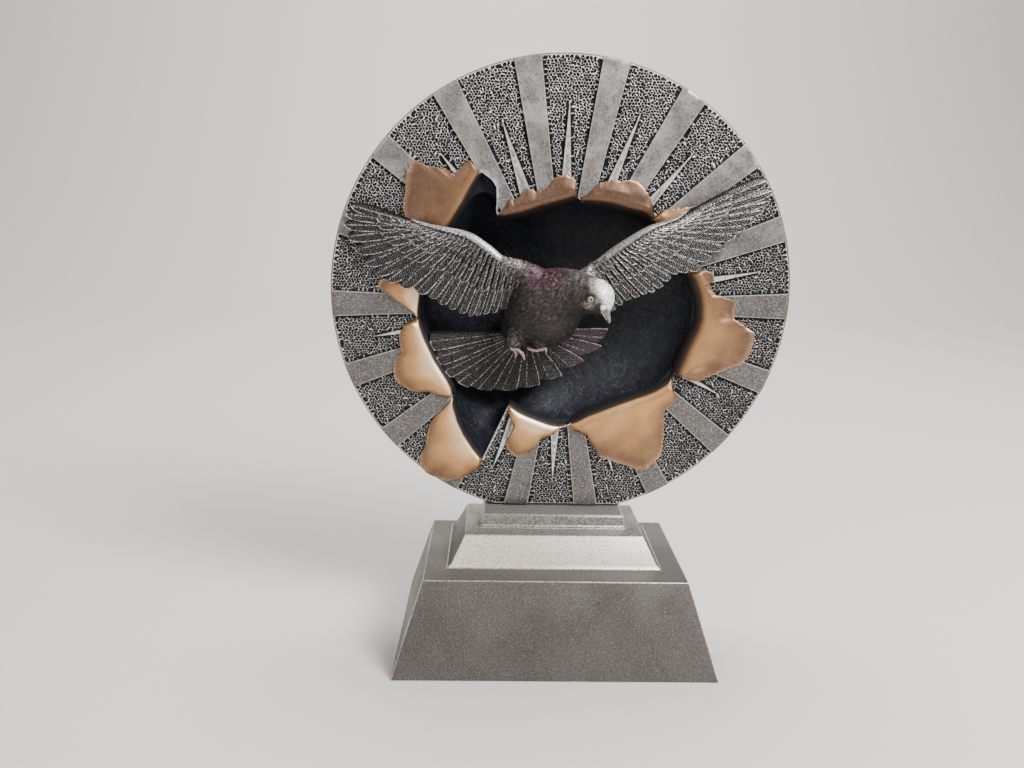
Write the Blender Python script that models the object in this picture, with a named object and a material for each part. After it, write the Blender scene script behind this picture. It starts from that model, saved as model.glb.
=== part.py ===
"""Pigeon racing trophy, cast in resin: a sunburst disc torn open around a flying pigeon,
standing on a stepped plinth. Two castings, so two nodes: plinth and relief_disc.

Run with: blender --background --python part.py
Metres, +Z up. The disc faces -Y. X is 0 at the disc's middle and Z is 0 under the plinth.
A place on the disc is given as (x, w, d): x to the right and w upward from the disc's middle,
and d forward of the disc's front face.
"""
import math

import bpy
import bmesh
from mathutils import Matrix, Vector

# Plinth, from the ground up
BASE_WIDTH = 0.1041
BASE_DEPTH = 0.0677
BASE_TOP_WIDTH = 0.0849
BASE_TOP_DEPTH = 0.0485
BASE_HEIGHT = 0.0297
TIER_WIDTH = 0.0683
TIER_DEPTH = 0.0355
TIER_TOP_WIDTH = 0.0590
TIER_TOP_DEPTH = 0.0275
TIER_HEIGHT = 0.0101
TIER_BACK_SHIFT = 0.0023
BLOCK_WIDTH = 0.0479
BLOCK_DEPTH = 0.0196
BLOCK_HEIGHT = 0.0047
BLOCK_NOSE = 0.0013
BLOCK_BACK_SHIFT = 0.0045
PLINTH_SIDE_SHIFT = -0.0009
CORNER_RADIUS = 0.0013
CORNER_POINTS = 3
EDGE_CHAMFER = 0.0005
COVE_RISE = 0.0022
COVE_REACH = 0.0014

# Disc
DISC_RADIUS = 0.0750
DISC_THICKNESS = 0.0090
DISC_FRONT_Y = 0.0035
DISC_SINK = 0.0027
DISC_EDGE = 0.0007
DISC_SEGMENTS = 96
SEAT_GAP = 0.0003

# Sunburst on the disc's face
RAY_COUNT = 18
RAY_FIRST_DEG = -0.1
RAY_RELIEF = 0.0006
RAY_ROOT_HALF = 0.0011
RAY_SPREAD = 0.040
RAY_RIM_MARGIN = 0.0002
SPIKE_TIP_RADIUS = 0.0620
SPIKE_BASE_RADIUS = 0.0300
SPIKE_BASE_HALF = 0.0021
BURST_DROP = 0.0025
ROOT_DEPTH = 0.0010

# Torn opening and the bowl behind it
TEAR_EDGE = 0.0012
BOWL_DEPTH = 0.0180
BOWL_WALL = 0.0030
BOWL_RINGS = 5
DOME_RADIUS = 0.0500
TEAR_STEP = 5.0

# Curled flaps of the torn sheet
FLAP_CREST = 0.0019
FLAP_TIP = 0.0012
FLAP_ROOT_DROP = 0.0010
FLAP_ROOT_INSET = 0.0007
FLAP_ROOT_WALL = 0.0016
FLAP_EMBED = 0.0007
FLAP_COLUMN = 0.0055

# Pigeon
WING_TIP_SHARE = 0.035
FEATHER_RIDGE = 0.00028
COVERT_STEP = 0.00050
WING_THICKNESS = 0.0017
WING_BONE_ROOT = 0.0031
WING_BONE_END = 0.0011
TAIL_THICKNESS = 0.0018
TAIL_RIDGE = 0.00045
BODY_SIDES = 20
HEAD_RADIUS = 0.0057
HEAD_STRETCH = 1.16
BEAK_LENGTH = 0.0062
BEAK_RADIUS = 0.0021
TOE_RADIUS = 0.0007

# Neighbouring faces of the relief closer than this many degrees become one
FLAT_ANGLE = 3.0

# The relief is one free form. Its drawing below is in units of a 75th of the disc's radius.
UNIT = DISC_RADIUS / 75.0

# Edge of the torn opening around the burst's centre: degrees, radius
TEAR = [
    (0, 45.5), (9, 44.2), (16, 42.6), (28, 41.5), (41, 39.6), (45, 40.0), (52, 38.0),
    (60, 36.2), (71, 34.4), (80, 33.6), (83, 34.9), (88, 33.4), (96, 32.2), (106, 31.7),
    (116, 31.9), (122, 33.0), (126.6, 35.2), (123.5, 38.8), (120.6, 42.2), (120.7, 45.5),
    (122.6, 49.3), (130, 46.8), (140, 44.7), (150, 44.4), (163, 45.2), (177.5, 46.2),
    (186.4, 47.2), (195, 46.1), (205, 45.5), (215, 45.3), (221.6, 47.6), (230, 52.0),
    (238, 55.9), (244.7, 59.0), (244.5, 48.0), (244.2, 38.2), (251, 38.6), (260, 39.6),
    (270, 41.1), (274, 41.3), (280, 39.5), (287, 38.4), (296, 38.2), (305, 39.2),
    (315, 41.6), (322, 43.6), (327.5, 45.0), (332, 44.5), (341, 44.0), (351, 44.9),
]

# Outer outline of each flap, from one end of its fold to the other: degrees, radius
FLAPS = {
    "upper_left": [(122.8, 49.8), (123.6, 53.4), (130.4, 53.8), (134.0, 60.2), (137.4, 66.0),
                   (142.5, 63.0), (149.0, 59.7), (152.2, 57.2), (154.5, 51.5), (156, 46.5)],
    "top_left": [(83.8, 35.3), (85.2, 39.7), (90.5, 41.0), (95.4, 40.4), (98.0, 38.0),
                 (104.5, 37.2), (108.0, 38.7), (115.8, 36.6), (119.0, 37.4), (126.4, 35.4)],
    "top_right": [(45.2, 40.5), (48.5, 43.0), (55.0, 45.1), (62.0, 45.3), (68.0, 43.2),
                  (74.0, 41.0), (77.5, 36.9), (82.4, 35.1)],
    "upper_right": [(33.0, 41.5), (34.0, 56.2), (36.6, 56.2), (39.4, 50.3), (43.8, 45.3),
                    (44.8, 40.4)],
    "left_small": [(171.0, 46.5), (172.6, 58.4), (175.1, 60.0), (178.8, 54.3), (183.4, 48.6),
                   (186.2, 47.3)],
    "left_large": [(186.8, 47.6), (189.0, 52.8), (193.5, 54.4), (198.4, 55.2), (201.8, 59.2),
                   (206.0, 60.0), (211.4, 56.7), (216.0, 51.8), (221.4, 47.8)],
    "lower_left": [(222.0, 48.4), (222.8, 57.0), (226.8, 64.4), (229.0, 71.6), (233.0, 73.0),
                   (238.2, 71.8), (242.4, 66.8), (244.7, 62.6), (244.6, 59.2)],
    "bottom_small": [(244.4, 38.4), (248.0, 42.4), (251.0, 45.2), (249.9, 50.6), (256.0, 54.0),
                     (260.7, 50.4), (263.4, 46.1), (268.0, 43.6), (272.0, 41.8)],
    "bottom_large": [(275.5, 41.8), (282.8, 45.1), (286.0, 53.2), (292.5, 58.8), (298.8, 64.0),
                     (306.0, 61.2), (311.0, 55.0), (316.0, 50.4), (321.8, 50.2), (326.9, 45.2)],
    "right_large": [(330.2, 45.0), (331.2, 50.4), (336.5, 56.3), (342.8, 64.0), (352.4, 65.0),
                    (356.4, 57.2), (362.4, 56.8), (366.0, 49.4), (371.0, 50.4), (376.2, 43.2)],
}

# Pigeon's wing bones, shoulder to hand, and its feather tips, innermost first: x, w, d
LEFT_BONE = [(-12.5, 9.0, 6.0), (-19.3, 11.6, 7.6), (-25.3, 16.0, 7.6), (-29.9, 18.9, 7.0),
             (-35.9, 20.5, 6.2), (-42.3, 21.8, 5.3), (-48.5, 23.6, 4.2)]
LEFT_TIPS = [
    (-14.5, 2.0, 3.6), (-17.0, -1.5, 3.4), (-19.9, -3.7, 3.2), (-22.7, -4.9, 3.1),
    (-25.2, -5.4, 3.0), (-27.7, -5.9, 3.0), (-30.2, -6.2, 3.0), (-33.0, -5.2, 3.0),
    (-36.4, -3.9, 3.0), (-39.5, -2.3, 3.0), (-42.8, -0.2, 3.0), (-46.8, 1.4, 3.0),
    (-51.8, 3.1, 2.8), (-56.3, 4.7, 2.2), (-60.1, 6.7, 1.7), (-63.3, 10.1, 1.5),
    (-66.3, 14.3, 1.4), (-68.7, 18.3, 1.4), (-69.6, 22.1, 1.4), (-69.1, 25.4, 1.4),
    (-67.2, 28.0, 1.4),
]
RIGHT_BONE = [(6.5, 8.6, 6.0), (12.8, 12.9, 6.8), (18.0, 16.7, 6.6), (23.6, 20.5, 6.2),
              (27.8, 22.8, 5.6), (33.0, 24.6, 4.9), (37.4, 26.9, 4.2)]
RIGHT_TIPS = [
    (14.6, -3.9, 3.4), (17.3, -3.1, 3.2), (19.7, -1.3, 3.1), (22.3, 0.4, 3.0),
    (24.9, 1.4, 3.0), (27.4, 2.4, 3.0), (29.9, 3.2, 3.0), (32.4, 4.8, 3.0),
    (34.8, 7.4, 3.0), (37.5, 9.7, 2.8), (40.7, 10.1, 2.3), (44.4, 10.8, 1.7),
    (47.6, 14.4, 1.5), (51.7, 17.6, 1.4), (55.0, 21.0, 1.4), (58.1, 23.9, 1.4),
    (61.0, 26.4, 1.4), (63.3, 29.2, 1.4), (65.0, 31.9, 1.4), (65.8, 35.2, 1.4),
    (63.7, 38.4, 1.4),
]
TAIL_ROOT = (-10.6, -11.9, -3.4)
TAIL_TIPS = [
    (16.3, -9.4, -2.6), (13.7, -15.6, -2.5), (7.4, -21.0, -2.3), (0.6, -26.0, -2.1),
    (-6.6, -29.9, -1.9), (-14.6, -31.8, -1.7), (-23.0, -32.0, -1.5), (-30.8, -31.0, -1.3),
    (-36.4, -27.6, -1.1), (-39.6, -23.4, -0.9), (-42.0, -18.2, -0.7), (-43.9, -12.6, -0.5),
]
# Body sections from the rump, rooted in the bowl, to the neck: x, w, d, radius
BODY = [
    (-12.6, -12.4, -17.2, 6.4), (-12.4, -11.8, -11.0, 8.2), (-11.2, -9.8, -5.0, 10.6),
    (-8.4, -6.2, 0.0, 12.2), (-5.0, -3.2, 3.4, 12.5), (-1.2, -0.5, 6.2, 11.3),
    (2.6, 1.3, 9.3, 9.1), (6.0, 2.2, 12.7, 7.0), (9.0, 2.2, 16.2, 5.4),
]
HEAD = (9.2, 2.0, 16.6)
BEAK_AIM = (0.42, -0.72, 0.55)
# Each thigh: hip, knee, thickness
THIGHS = [
    ((-16.0, -9.0, 3.2), (-17.6, -14.2, 7.0), 3.4),
    ((-6.6, -11.4, 6.6), (-7.4, -15.0, 8.2), 2.8),
]
TOES = [
    [(-17.6, -13.8, 7.2), (-16.4, -15.6, 8.8), (-14.1, -15.9, 9.6), (-12.5, -17.3, 9.6),
     (-11.9, -19.2, 9.0)],
    [(-8.0, -14.6, 8.2), (-7.0, -15.7, 9.4), (-5.4, -15.3, 9.8), (-5.0, -16.6, 9.2)],
]

DISC_CENTER_Z = BASE_HEIGHT + TIER_HEIGHT + BLOCK_HEIGHT + DISC_RADIUS - DISC_SINK


def place(x, w, d):
    """World position of a place on the relief, given in drawing units."""
    return Vector((x * UNIT, DISC_FRONT_Y - d * UNIT, DISC_CENTER_Z + w * UNIT))


def burst(angle_deg, radius, d):
    """World position from polar values around the burst's centre, all in metres."""
    a = math.radians(angle_deg)
    return Vector((
        radius * math.cos(a),
        DISC_FRONT_Y - d,
        DISC_CENTER_Z - BURST_DROP + radius * math.sin(a),
    ))


def resample(points, count):
    """Evenly spaced places along a polyline of vectors."""
    lengths = [0.0]
    for a, b in zip(points, points[1:]):
        lengths.append(lengths[-1] + (b - a).length)
    out = []
    for i in range(count):
        target = lengths[-1] * i / (count - 1)
        k = 0
        while k < len(points) - 2 and lengths[k + 1] < target:
            k += 1
        span = max(lengths[k + 1] - lengths[k], 1e-9)
        out.append(points[k].lerp(points[k + 1], (target - lengths[k]) / span))
    return out


def divide(points, longest):
    """The polyline with its long stretches divided evenly."""
    out = []
    for a, b in zip(points, points[1:]):
        pieces = max(1, math.ceil((b - a).length / longest))
        out += [a.lerp(b, i / pieces) for i in range(pieces)]
    out.append(points[-1].copy())
    return out


def matched(points, others):
    """Places along one polyline at the shares of its length where others has its points."""
    fine = resample(points, 400)
    total = sum((b - a).length for a, b in zip(others, others[1:]))
    out = [fine[0]]
    walked = 0.0
    for a, b in zip(others, others[1:]):
        walked += (b - a).length
        out.append(fine[min(399, round(399 * walked / total))])
    return out


def smooth_path(points, steps):
    """Catmull-Rom curve through the points, with the given steps between neighbours."""
    ends = [points[0] * 2 - points[1]] + points + [points[-1] * 2 - points[-2]]
    out = []
    for k in range(1, len(ends) - 2):
        p0, p1, p2, p3 = ends[k - 1:k + 3]
        for i in range(steps):
            t = i / steps
            out.append(0.5 * (2 * p1 + (p2 - p0) * t + (2 * p0 - 5 * p1 + 4 * p2 - p3) * t * t
                              + (3 * p1 - p0 - 3 * p2 + p3) * t ** 3))
    out.append(points[-1].copy())
    return out


def mesh_object(name, bm, collection):
    bmesh.ops.recalc_face_normals(bm, faces=bm.faces[:])
    mesh = bpy.data.meshes.new(name)
    bm.to_mesh(mesh)
    bm.free()
    obj = bpy.data.objects.new(name, mesh)
    collection.objects.link(obj)
    return obj


def loft(bm, rings):
    """Closed skin over rings with equal point counts, capped at both ends."""
    rows = [[bm.verts.new(p) for p in ring] for ring in rings]
    count = len(rows[0])
    for lower, upper in zip(rows, rows[1:]):
        for i in range(count):
            j = (i + 1) % count
            bm.faces.new((lower[i], lower[j], upper[j], upper[i]))
    bm.faces.new(list(reversed(rows[0])))
    bm.faces.new(rows[-1])


def slab(bm, top, bottom):
    """Closed slab between two grids of points with the same rows and columns."""
    front = [[bm.verts.new(p) for p in row] for row in top]
    back = [[bm.verts.new(p) for p in row] for row in bottom]
    rows = len(front)
    cols = len(front[0])
    for i in range(rows - 1):
        for j in range(cols - 1):
            bm.faces.new((front[i][j], front[i][j + 1], front[i + 1][j + 1], front[i + 1][j]))
            bm.faces.new((back[i][j], back[i + 1][j], back[i + 1][j + 1], back[i][j + 1]))
    rim = [(0, j) for j in range(cols)]
    rim += [(i, cols - 1) for i in range(1, rows)]
    rim += [(rows - 1, j) for j in range(cols - 2, -1, -1)]
    rim += [(i, 0) for i in range(rows - 2, 0, -1)]
    for (a, b), (c, d) in zip(rim, rim[1:] + rim[:1]):
        bm.faces.new((front[a][b], back[a][b], back[c][d], front[c][d]))


def tube(bm, path, radii, sides):
    """Closed tube along a path, with its own radius at each point."""
    rings = []
    for k, point in enumerate(path):
        ahead = path[min(k + 1, len(path) - 1)] - path[max(k - 1, 0)]
        turn = ahead.to_track_quat("Z", "Y").to_matrix()
        ring = []
        for i in range(sides):
            a = 2 * math.pi * i / sides
            ring.append(point + turn @ Vector((math.cos(a), math.sin(a), 0)) * radii[k])
        rings.append(ring)
    loft(bm, rings)


def ellipsoid(name, center, axis, along, across, collection, segments=16):
    """Ball stretched along an axis."""
    bm = bmesh.new()
    bmesh.ops.create_uvsphere(bm, u_segments=segments, v_segments=segments // 2 + 2, radius=1.0)
    turn = axis.to_track_quat("Z", "Y").to_matrix().to_4x4()
    grow = Matrix.Diagonal((across, across, along, 1.0))
    bmesh.ops.transform(bm, matrix=Matrix.Translation(center) @ turn @ grow, verts=bm.verts)
    return mesh_object(name, bm, collection)


def rounded_rectangle(half_width, front, back, radius, z):
    """One level of the plinth: a rectangle with rounded corners."""
    radius = min(radius, half_width, (back - front) / 2)
    corners = [(half_width - radius, back - radius, 0), (-half_width + radius, back - radius, 90),
               (-half_width + radius, front + radius, 180), (half_width - radius, front + radius, 270)]
    ring = []
    for cx, cy, start in corners:
        for i in range(CORNER_POINTS):
            a = math.radians(start + 90.0 * i / (CORNER_POINTS - 1))
            x = PLINTH_SIDE_SHIFT + cx + radius * math.cos(a)
            ring.append(Vector((x, cy + radius * math.sin(a), z)))
    return ring


def build_plinth(collection):
    levels = []

    def level(z, width, depth, shift, inset=0.0):
        half_depth = depth / 2 - inset
        levels.append(rounded_rectangle(width / 2 - inset, shift - half_depth, shift + half_depth,
                                        CORNER_RADIUS, z))

    base_lean = (BASE_WIDTH - BASE_TOP_WIDTH) / 2 / BASE_HEIGHT
    tier_base = BASE_HEIGHT
    tier_top = tier_base + TIER_HEIGHT
    block_top = tier_top + BLOCK_HEIGHT
    level(0.0, BASE_WIDTH, BASE_DEPTH, 0.0, EDGE_CHAMFER)
    level(EDGE_CHAMFER, BASE_WIDTH, BASE_DEPTH, 0.0, EDGE_CHAMFER * base_lean)
    level(BASE_HEIGHT - EDGE_CHAMFER, BASE_TOP_WIDTH, BASE_TOP_DEPTH, 0.0, -EDGE_CHAMFER * base_lean)
    level(BASE_HEIGHT, BASE_TOP_WIDTH, BASE_TOP_DEPTH, 0.0, EDGE_CHAMFER)
    for i in range(4):
        a = math.pi / 2 * i / 3
        reach = COVE_REACH * (1 - math.sin(a))
        rise = COVE_RISE * (1 - math.cos(a))
        share = rise / TIER_HEIGHT
        width = TIER_WIDTH + (TIER_TOP_WIDTH - TIER_WIDTH) * share
        depth = TIER_DEPTH + (TIER_TOP_DEPTH - TIER_DEPTH) * share
        level(tier_base + rise, width, depth, TIER_BACK_SHIFT, -reach)
    level(tier_top - EDGE_CHAMFER, TIER_TOP_WIDTH, TIER_TOP_DEPTH, TIER_BACK_SHIFT)
    level(tier_top, TIER_TOP_WIDTH, TIER_TOP_DEPTH, TIER_BACK_SHIFT, EDGE_CHAMFER)
    level(tier_top, BLOCK_WIDTH, BLOCK_DEPTH, BLOCK_BACK_SHIFT)
    level(block_top - BLOCK_NOSE, BLOCK_WIDTH, BLOCK_DEPTH, BLOCK_BACK_SHIFT)
    for a in (30, 60, 90):
        inset = BLOCK_NOSE * (1 - math.cos(math.radians(a)))
        level(block_top - BLOCK_NOSE * (1 - math.sin(math.radians(a))), BLOCK_WIDTH, BLOCK_DEPTH,
              BLOCK_BACK_SHIFT, inset)
    bm = bmesh.new()
    loft(bm, levels)
    return mesh_object("plinth", bm, collection)


def build_plate(collection):
    bm = bmesh.new()
    bmesh.ops.create_cone(bm, cap_ends=True, segments=DISC_SEGMENTS, radius1=DISC_RADIUS,
                          radius2=DISC_RADIUS, depth=DISC_THICKNESS)
    bmesh.ops.rotate(bm, matrix=Matrix.Rotation(math.pi / 2, 3, "X"), verts=bm.verts)
    middle = Vector((0, DISC_FRONT_Y + DISC_THICKNESS / 2, DISC_CENTER_Z))
    bmesh.ops.translate(bm, vec=middle, verts=bm.verts)
    rim = [e for e in bm.edges if any(len(f.verts) > 4 for f in e.link_faces)]
    bmesh.ops.bevel(bm, geom=rim, offset=DISC_EDGE, segments=1, profile=0.5, affect="EDGES")
    return mesh_object("relief_disc", bm, collection)


def prism(name, outline, low, high, collection):
    """Flat-sided solid on the disc's face, from an outline of (x, z) places around its middle."""
    bm = bmesh.new()
    rings = []
    for d in (low, high):
        rings.append([Vector((x, DISC_FRONT_Y - d, z)) for x, z in outline])
    loft(bm, rings)
    return mesh_object(name, bm, collection)


def build_rays(collection):
    """Rays run from the opening out to the rim; short spikes stand between them."""
    center = Vector((0.0, DISC_CENTER_Z - BURST_DROP))
    step = 360.0 / RAY_COUNT
    for k in range(RAY_COUNT):
        a = math.radians(RAY_FIRST_DEG + k * step)
        along = Vector((math.cos(a), math.sin(a)))
        side = Vector((-along.y, along.x))
        reach = DISC_RADIUS - RAY_RIM_MARGIN
        outline = []
        inner = SPIKE_BASE_RADIUS
        for sign in (-1, 1):
            half = RAY_ROOT_HALF + RAY_SPREAD * inner
            outline.append(center + along * inner + side * half * sign)
        for sign in (1, 0, -1):
            wide = RAY_ROOT_HALF + RAY_SPREAD * DISC_RADIUS
            narrow = RAY_ROOT_HALF + RAY_SPREAD * inner
            far = center + along * DISC_RADIUS + side * wide * sign
            near = center + along * inner + side * narrow * sign
            outline.append(stretch_to_rim(near, far, reach))
        prism("ray_%02d" % (k + 1), [(p.x, p.y) for p in outline], -ROOT_DEPTH, RAY_RELIEF, collection)
        a += math.radians(step / 2)
        along = Vector((math.cos(a), math.sin(a)))
        side = Vector((-along.y, along.x))
        foot = center + along * SPIKE_BASE_RADIUS
        tip = center + along * SPIKE_TIP_RADIUS
        outline = [foot - side * SPIKE_BASE_HALF, foot + side * SPIKE_BASE_HALF, tip]
        prism("spike_%02d" % (k + 1), [(p.x, p.y) for p in outline], -ROOT_DEPTH, RAY_RELIEF, collection)


def stretch_to_rim(near, far, reach):
    """Point where the line from near through far leaves a circle around the disc's middle."""
    middle = Vector((0.0, DISC_CENTER_Z))
    step = (far - near).normalized()
    start = near - middle
    b = start.dot(step)
    return near + step * (-b + math.sqrt(max(b * b - start.dot(start) + reach * reach, 0.0)))


def tear_outline():
    """The torn edge as (degrees, radius in metres), with long stretches divided."""
    out = []
    ring = TEAR + [(TEAR[0][0] + 360, TEAR[0][1])]
    for (a0, r0), (a1, r1) in zip(ring, ring[1:]):
        pieces = max(1, math.ceil(abs(a1 - a0) / TEAR_STEP))
        for i in range(pieces):
            t = i / pieces
            out.append((a0 + (a1 - a0) * t, (r0 + (r1 - r0) * t) * UNIT))
    return out


def tear_radius(angle_deg):
    """Radius of the torn edge at an angle, smoothed a little, for the bowl behind it."""
    edge = tear_outline()
    total = 0.0
    weight = 0.0
    for a, r in edge:
        gap = abs((a - angle_deg + 180) % 360 - 180)
        share = math.exp(-(gap / 9.0) ** 2)
        total += r * share
        weight += share
    return total / weight


def even_angles(edge):
    """The edge's angles averaged over their neighbours, so that none runs backward."""
    count = len(edge)
    out = []
    for i in range(count):
        total = 0.0
        for step in range(-3, 4):
            near = edge[(i + step) % count][0] + 360.0 * ((i + step) // count)
            total += near
        out.append(total / 7.0)
    return out


def build_tear_cutter(collection):
    """The opening and the bowl: the torn edge in front, rounding into a smooth hollow."""
    edge = tear_outline()
    angles = even_angles(edge)
    smooth = [tear_radius(a) for a in angles]
    rings = [[burst(a, r, RAY_RELIEF + FLAP_CREST) for a, r in edge],
             [burst(a, r, -TEAR_EDGE) for a, r in edge]]
    round_radius = min(sum(smooth) / len(smooth), DOME_RADIUS - BOWL_WALL)
    for k in range(1, BOWL_RINGS + 1):
        t = k / (BOWL_RINGS + 0.35)
        depth = TEAR_EDGE + (BOWL_DEPTH - TEAR_EDGE) * math.sin(t * math.pi / 2) ** 1.15
        shrink = math.cos(t * math.pi / 2) ** 0.8
        blend = min(1.0, 0.35 + t)
        ring = []
        for (a, r), even, s in zip(edge, angles, smooth):
            held = min(r, s) * (1 - blend) + min(s, round_radius) * blend
            ring.append(burst(even, held * shrink, -depth))
        rings.append(ring)
    bm = bmesh.new()
    loft(bm, rings)
    return mesh_object("tear_cutter", bm, collection)


def build_dome(collection):
    """The bowl's rounded back, standing out behind the disc."""
    bm = bmesh.new()
    bmesh.ops.create_uvsphere(bm, u_segments=32, v_segments=14, radius=1.0)
    front = 0.006
    depth = BOWL_DEPTH + BOWL_WALL - front
    bmesh.ops.scale(bm, vec=(DOME_RADIUS, depth, DOME_RADIUS), verts=bm.verts)
    middle = Vector((0, DISC_FRONT_Y + front, DISC_CENTER_Z - BURST_DROP))
    bmesh.ops.translate(bm, vec=middle, verts=bm.verts)
    cut = Vector((0, DISC_FRONT_Y + DISC_THICKNESS / 2, 0))
    geom = bm.verts[:] + bm.edges[:] + bm.faces[:]
    bmesh.ops.bisect_plane(bm, geom=geom, plane_co=cut, plane_no=(0, -1, 0), clear_outer=True)
    rim = [e for e in bm.edges if e.is_boundary]
    bmesh.ops.contextual_create(bm, geom=rim)
    return mesh_object("bowl_back", bm, collection)


def fold_line(start, end):
    """Stretch of the torn edge between the places nearest to a flap's two ends."""
    edge = [burst(a, r, 0.0) for a, r in tear_outline()]
    first = min(range(len(edge)), key=lambda i: (edge[i] - start).length)
    last = min(range(len(edge)), key=lambda i: (edge[i] - end).length)
    if last < first:
        last += len(edge)
    return [edge[i % len(edge)] for i in range(first, last + 1)]


def build_flap(name, outline, collection):
    """A torn flap: it rises out of the bowl, rolls over the edge and lies on the disc's face."""
    reach = [burst(a, r * UNIT, 0.0) for a, r in outline]
    roots = fold_line(reach[0], reach[-1])
    reach = divide(reach, FLAP_COLUMN)
    roots = matched(roots, reach)
    roots[0] = roots[0].lerp(roots[1], 0.3)
    roots[-1] = roots[-1].lerp(roots[-2], 0.3)
    center = burst(0, 0, 0)
    top = []
    bottom = []
    profile = [(0.0, -FLAP_ROOT_DROP), (0.16, FLAP_CREST), (0.55, FLAP_CREST * 0.92), (1.0, FLAP_TIP)]
    for share, height in profile:
        upper = []
        lower = []
        for root, tip in zip(roots, reach):
            inner = root + (center - root).normalized() * FLAP_ROOT_INSET
            stand = min(1.0, 0.45 + (tip - root).length / (8.0 * UNIT))
            rise = height * stand if height > 0 else height
            under = -FLAP_ROOT_DROP - FLAP_ROOT_WALL if share < 0.2 else -FLAP_EMBED
            spot = inner.lerp(tip, share)
            upper.append(spot + Vector((0, -rise, 0)))
            lower.append(spot + Vector((0, -under, 0)))
        top.append(upper)
        bottom.append(lower)
    bm = bmesh.new()
    slab(bm, top, bottom)
    return mesh_object("flap_" + name, bm, collection)


def build_wing(name, bone, tips, collection):
    """Wing: feathers fan from the bone line to their tips, under two rows of coverts."""
    bone_path = smooth_path([place(*p) for p in bone], 6)
    count = len(tips)
    shafts = [place(*p) for p in tips]
    roots = resample(bone_path, 2 * count + 1)
    ends = []
    for j in range(2 * count + 1):
        if j % 2:
            ends.append(shafts[j // 2])
            continue
        k = j // 2
        if k in (0, count):
            end = shafts[0] if k == 0 else shafts[-1]
            beside = shafts[1] if k == 0 else shafts[-2]
            middle = end + (end - beside) * 0.35
        else:
            middle = (shafts[k - 1] + shafts[k]) / 2
        ends.append(middle.lerp(roots[j], WING_TIP_SHARE))
    rows = [(0.0, 0.6, 0.0), (0.16, 2.0, 0.3), (0.30, 2.0, 0.5), (0.31, 1.0, 0.6),
            (0.52, 1.0, 0.9), (0.53, 0.0, 1.0), (1.0, 0.0, 0.8)]
    top = []
    bottom = []
    for share, steps, ridge in rows:
        upper = []
        lower = []
        for j in range(2 * count + 1):
            spot = roots[j].lerp(ends[j], share)
            lift = steps * COVERT_STEP + (FEATHER_RIDGE if j % 2 else -FEATHER_RIDGE) * ridge
            upper.append(spot + Vector((0, -lift, 0)))
            lower.append(spot + Vector((0, WING_THICKNESS, 0)))
        top.append(upper)
        bottom.append(lower)
    bm = bmesh.new()
    slab(bm, top, bottom)
    wing = mesh_object(name, bm, collection)
    bm = bmesh.new()
    path = resample(bone_path, 9)
    radii = [WING_BONE_ROOT + (WING_BONE_END - WING_BONE_ROOT) * k / 8 for k in range(9)]
    sink = Vector((0, WING_BONE_END, 0))
    tube(bm, [p + sink for p in path], radii, 10)
    mesh_object(name + "_bone", bm, collection)
    return wing


def build_tail(collection):
    """Tail fan: broad feathers, each ridged along its shaft and stepped over its neighbour."""
    root = place(*TAIL_ROOT)
    shafts = [place(*p) for p in TAIL_TIPS]
    count = len(shafts)
    top = []
    bottom = []
    for share in (0.10, 0.45, 0.85, 1.0):
        upper = []
        lower = []
        for k, tip in enumerate(shafts):
            before = (tip + shafts[k - 1]) / 2 if k else tip + (tip - shafts[1]) / 2
            after = (tip + shafts[k + 1]) / 2 if k < count - 1 else tip + (tip - shafts[-2]) / 2
            for end, rise, pull in ((before, 0.0, 0.99), (tip, 1.0, 1.0), (after, 0.6, 0.95)):
                spot = root.lerp(end, share * (pull if share == 1.0 else 1.0))
                if end is after:
                    spot = spot.lerp(root.lerp(tip, share), 0.04)
                upper.append(spot + Vector((0, -TAIL_RIDGE * rise, 0)))
                lower.append(spot + Vector((0, TAIL_THICKNESS, 0)))
        top.append(upper)
        bottom.append(lower)
    bm = bmesh.new()
    slab(bm, top, bottom)
    return mesh_object("tail", bm, collection)


def build_body(collection):
    rings = []
    path = [place(x, w, d) for x, w, d, r in BODY]
    radii = [r * UNIT for x, w, d, r in BODY]
    fine = smooth_path(path, 2)
    sizes = []
    for a, b in zip(radii, radii[1:]):
        sizes += [a, (a + b) / 2]
    sizes.append(radii[-1])
    bm = bmesh.new()
    tube(bm, fine, sizes, BODY_SIDES)
    rings.append(mesh_object("body", bm, collection))
    aim = Vector((BEAK_AIM[0], -BEAK_AIM[2], BEAK_AIM[1])).normalized()
    head = place(*HEAD)
    scale = UNIT / 0.001
    ellipsoid("head", head, aim, HEAD_RADIUS * HEAD_STRETCH * scale, HEAD_RADIUS * scale, collection)
    start = head + aim * HEAD_RADIUS * scale * 0.75
    tip = start + (aim + Vector((0, 0, -0.18))) * BEAK_LENGTH * scale
    path = [start, start.lerp(tip, 0.35), start.lerp(tip, 0.75), tip]
    bm = bmesh.new()
    tube(bm, path, [BEAK_RADIUS, BEAK_RADIUS * 0.86, BEAK_RADIUS * 0.45, BEAK_RADIUS * 0.15], 8)
    mesh_object("beak", bm, collection)
    for k, (hip, knee, size) in enumerate(THIGHS):
        a = place(*hip)
        b = place(*knee)
        along = (b - a).length * 0.72
        ellipsoid("thigh_%d" % (k + 1), (a + b) / 2, b - a, along, size * UNIT, collection, 10)
    for k, points in enumerate(TOES):
        path = [place(*p) for p in points]
        bm = bmesh.new()
        radii = [TOE_RADIUS * 1.2] * (len(path) - 1) + [TOE_RADIUS * 0.6]
        tube(bm, path, radii, 6)
        mesh_object("toe_%d" % (k + 1), bm, collection)


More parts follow.
